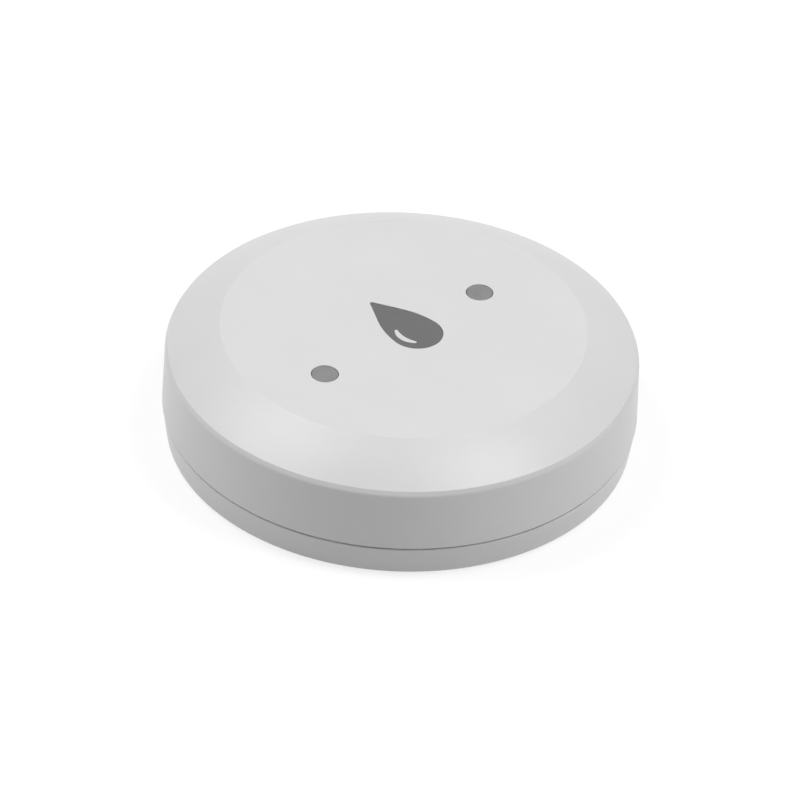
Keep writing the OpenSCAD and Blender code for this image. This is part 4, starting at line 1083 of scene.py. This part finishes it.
def led_tracks(layer):
    """Tracks from the controller chip's last two leads to the status light."""
    chip, reach = middle("controller_chip"), half_size("controller_chip").x
    left = chip.x - reach
    near, far = led_ends(LED_PAD_Y)
    y = chip.y + lead_run(LEADS - 2)
    bend = left - LED_NEAR_BEND
    layer.track([(left, y), (bend, y), (bend, near[1]), near], LEAD_TRACK_W)
    start = (left, chip.y + lead_run(LEADS - 1))
    layer.track([start, (left - LED_FAR_BEND, far[1]), far], LEAD_TRACK_W)


def switch_tracks(layer):
    """Tracks from the controller chip's outer leads to the switch."""
    chip, reach = middle("controller_chip"), half_size("controller_chip").x
    switch, half = middle("switch_body"), half_size("switch_body")
    foot = chip.y - reach
    for side, lead in zip(SIDES, (0, LEADS - 1)):
        start_x = chip.x + lead_run(lead)
        end_x = switch.x + side * half.x
        layer.track([
            (start_x, foot), (start_x, foot - SWITCH_STRAIGHT),
            (end_x, foot - SWITCH_BEND), (end_x, switch.y + SWITCH_TRACK_Y)], SWITCH_TRACK_W)


def sensing_tracks(layer, wall_x):
    """Wide tracks from the probes and contacts to the cell holder."""
    for name in probes():
        probe = middle(name)
        way_x, way_y = math.copysign(1.0, probe.x), math.copysign(1.0, probe.y)
        start = (probe.x - way_x * PROBE_TRACK_FROM, probe.y - way_y * PROBE_TRACK_FROM)
        bend = (probe.x - way_x * PROBE_TRACK_BEND, probe.y - way_y * PROBE_TRACK_BEND)
        layer.track([start, bend, (way_x * wall_x, bend[1])], PROBE_TRACK_W)
    for k in (1, 2):
        contact = middle(f"drip_contact_{k}")
        way = math.copysign(1.0, contact.x)
        start = (contact.x - way * CONTACT_TRACK_FROM, contact.y)
        layer.track([start, (way * wall_x, contact.y)], CONTACT_TRACK_W)


def small_tracks(layer):
    """Short tracks with vias at the crystal and the small parts."""
    crystal, half = middle("crystal"), half_size("crystal")
    edge = crystal.y + half.y
    for side in SIDES:
        x = crystal.x + side * CRYSTAL_TRACK_X
        layer.track([(x, edge), (x, edge + CRYSTAL_TRACK_L)], CRYSTAL_TRACK_W)
        layer.via(x, edge + CRYSTAL_VIA_Y)
    for x, y in passive_ends(PASSIVE_TRACK_X):
        layer.track([(x, y), (x, y - PASSIVE_TRACK_L)], PASSIVE_TRACK_W)
        layer.via(x, y - PASSIVE_VIA_Y)


def add_tracks(mat):
    """Tracks under the solder mask, with vias, between the parts and out to the probes and contacts."""
    layer = Layer(TRACE_H)
    wall_x = half_size("battery_holder").x - UNDER_WALL
    radio_tracks(layer, wall_x)
    chip_tracks(layer, wall_x)
    led_tracks(layer)
    switch_tracks(layer)
    sensing_tracks(layer, wall_x)
    small_tracks(layer)
    layer.piece("board_tracks", mat, "base", "board")


def dress_case():
    """Materials of the housing, the top's inlays, the metal and the seals."""
    dress(surface("housing", HOUSING), "top_cover", "base_shell")
    dress(surface("inlay", INLAY), "drop_inlay")
    dress(surface("lens", LENS), "drop_lens")
    dress(clear_plastic("light_guide", CLEAR), "light_guide")
    for k in (1, 2):
        name = f"drip_contact_{k}"
        dress(turned(f"contact_{k}", CONTACT, middle(name), False), name)
    dress(turned("probe", NICKEL, middle(probes()[0]), True), *probes())
    dress(surface("rubber", RUBBER, SOFT), "seal_ring", "probe_seals", "contact_seals")
    dress(surface("screw_steel", STEEL, ZINC_PLATED), "board_screws", "contact_clips")


def dress_inside():
    """Materials of the cells, their holder and the board with its parts."""
    plates = ("battery_link", "battery_tab_1", "battery_tab_2")
    dress(surface("plate_nickel", NICKEL, BRUSHED_PLATE), *plates)
    dress(surface("cell_can", STEEL, ZINC_PLATED), "battery_1", "battery_2")
    dress(surface("holder_nylon", BLACK_NYLON, MOULDED_COARSE), "battery_holder")
    dress(surface("shield_tin", TIN, BRUSHED_CAN), "radio_shield")
    dress(surface("antenna_gold", GOLD, GILT_TRACK), "antenna")
    dress(surface("plunger", PLUNGER), "switch_plunger")
    dress(zoned("board", on_edge, SOLDER_MASK, LAMINATE, LACQUER), "circuit_board")
    dress(zoned("module_board", module_pads, MODULE_MASK, GOLD), "radio_module")
    dress(zoned("chip", chip_leads, EPOXY, TIN), "controller_chip")
    dress(zoned("crystal", above("crystal", CRYSTAL_FOOT_H), CERAMIC_WHITE, TIN), "crystal")
    dress(zoned("status_led", above("status_led", LED_BODY_H), CERAMIC_WHITE, PHOSPHOR), "status_led")
    dress(zoned("switch", switch_metal, BLACK_NYLON, STEEL), "switch_body")
    dress(passive_material(), "board_passives")


def add_pieces():
    """Pieces that only the scene has."""
    spring_mat = surface("spring_nickel", NICKEL, DRAWN_WIRE)
    add_contact_springs(spring_mat)
    add_cell_springs(spring_mat)
    add_sleeves(surface("washer", RUBBER))
    add_tracks(surface("trace_mask", TRACE_MASK, LACQUER))
    add_pads(surface("pad_gold", GOLD, GILT_PAD))
    add_solder(surface("solder", TIN, CAST_SOLDER))
    add_print(surface("silk", SILK, PRINT))


def main():
    """Camera, light, floor, materials and the scene's own pieces."""
    make_camera()
    for box in SOFTBOXES:
        add_softbox(box)
    make_world()
    make_floor()
    dress_case()
    dress_inside()
    add_pieces()
    bpy.context.scene.view_settings.view_transform = "Standard"


main()
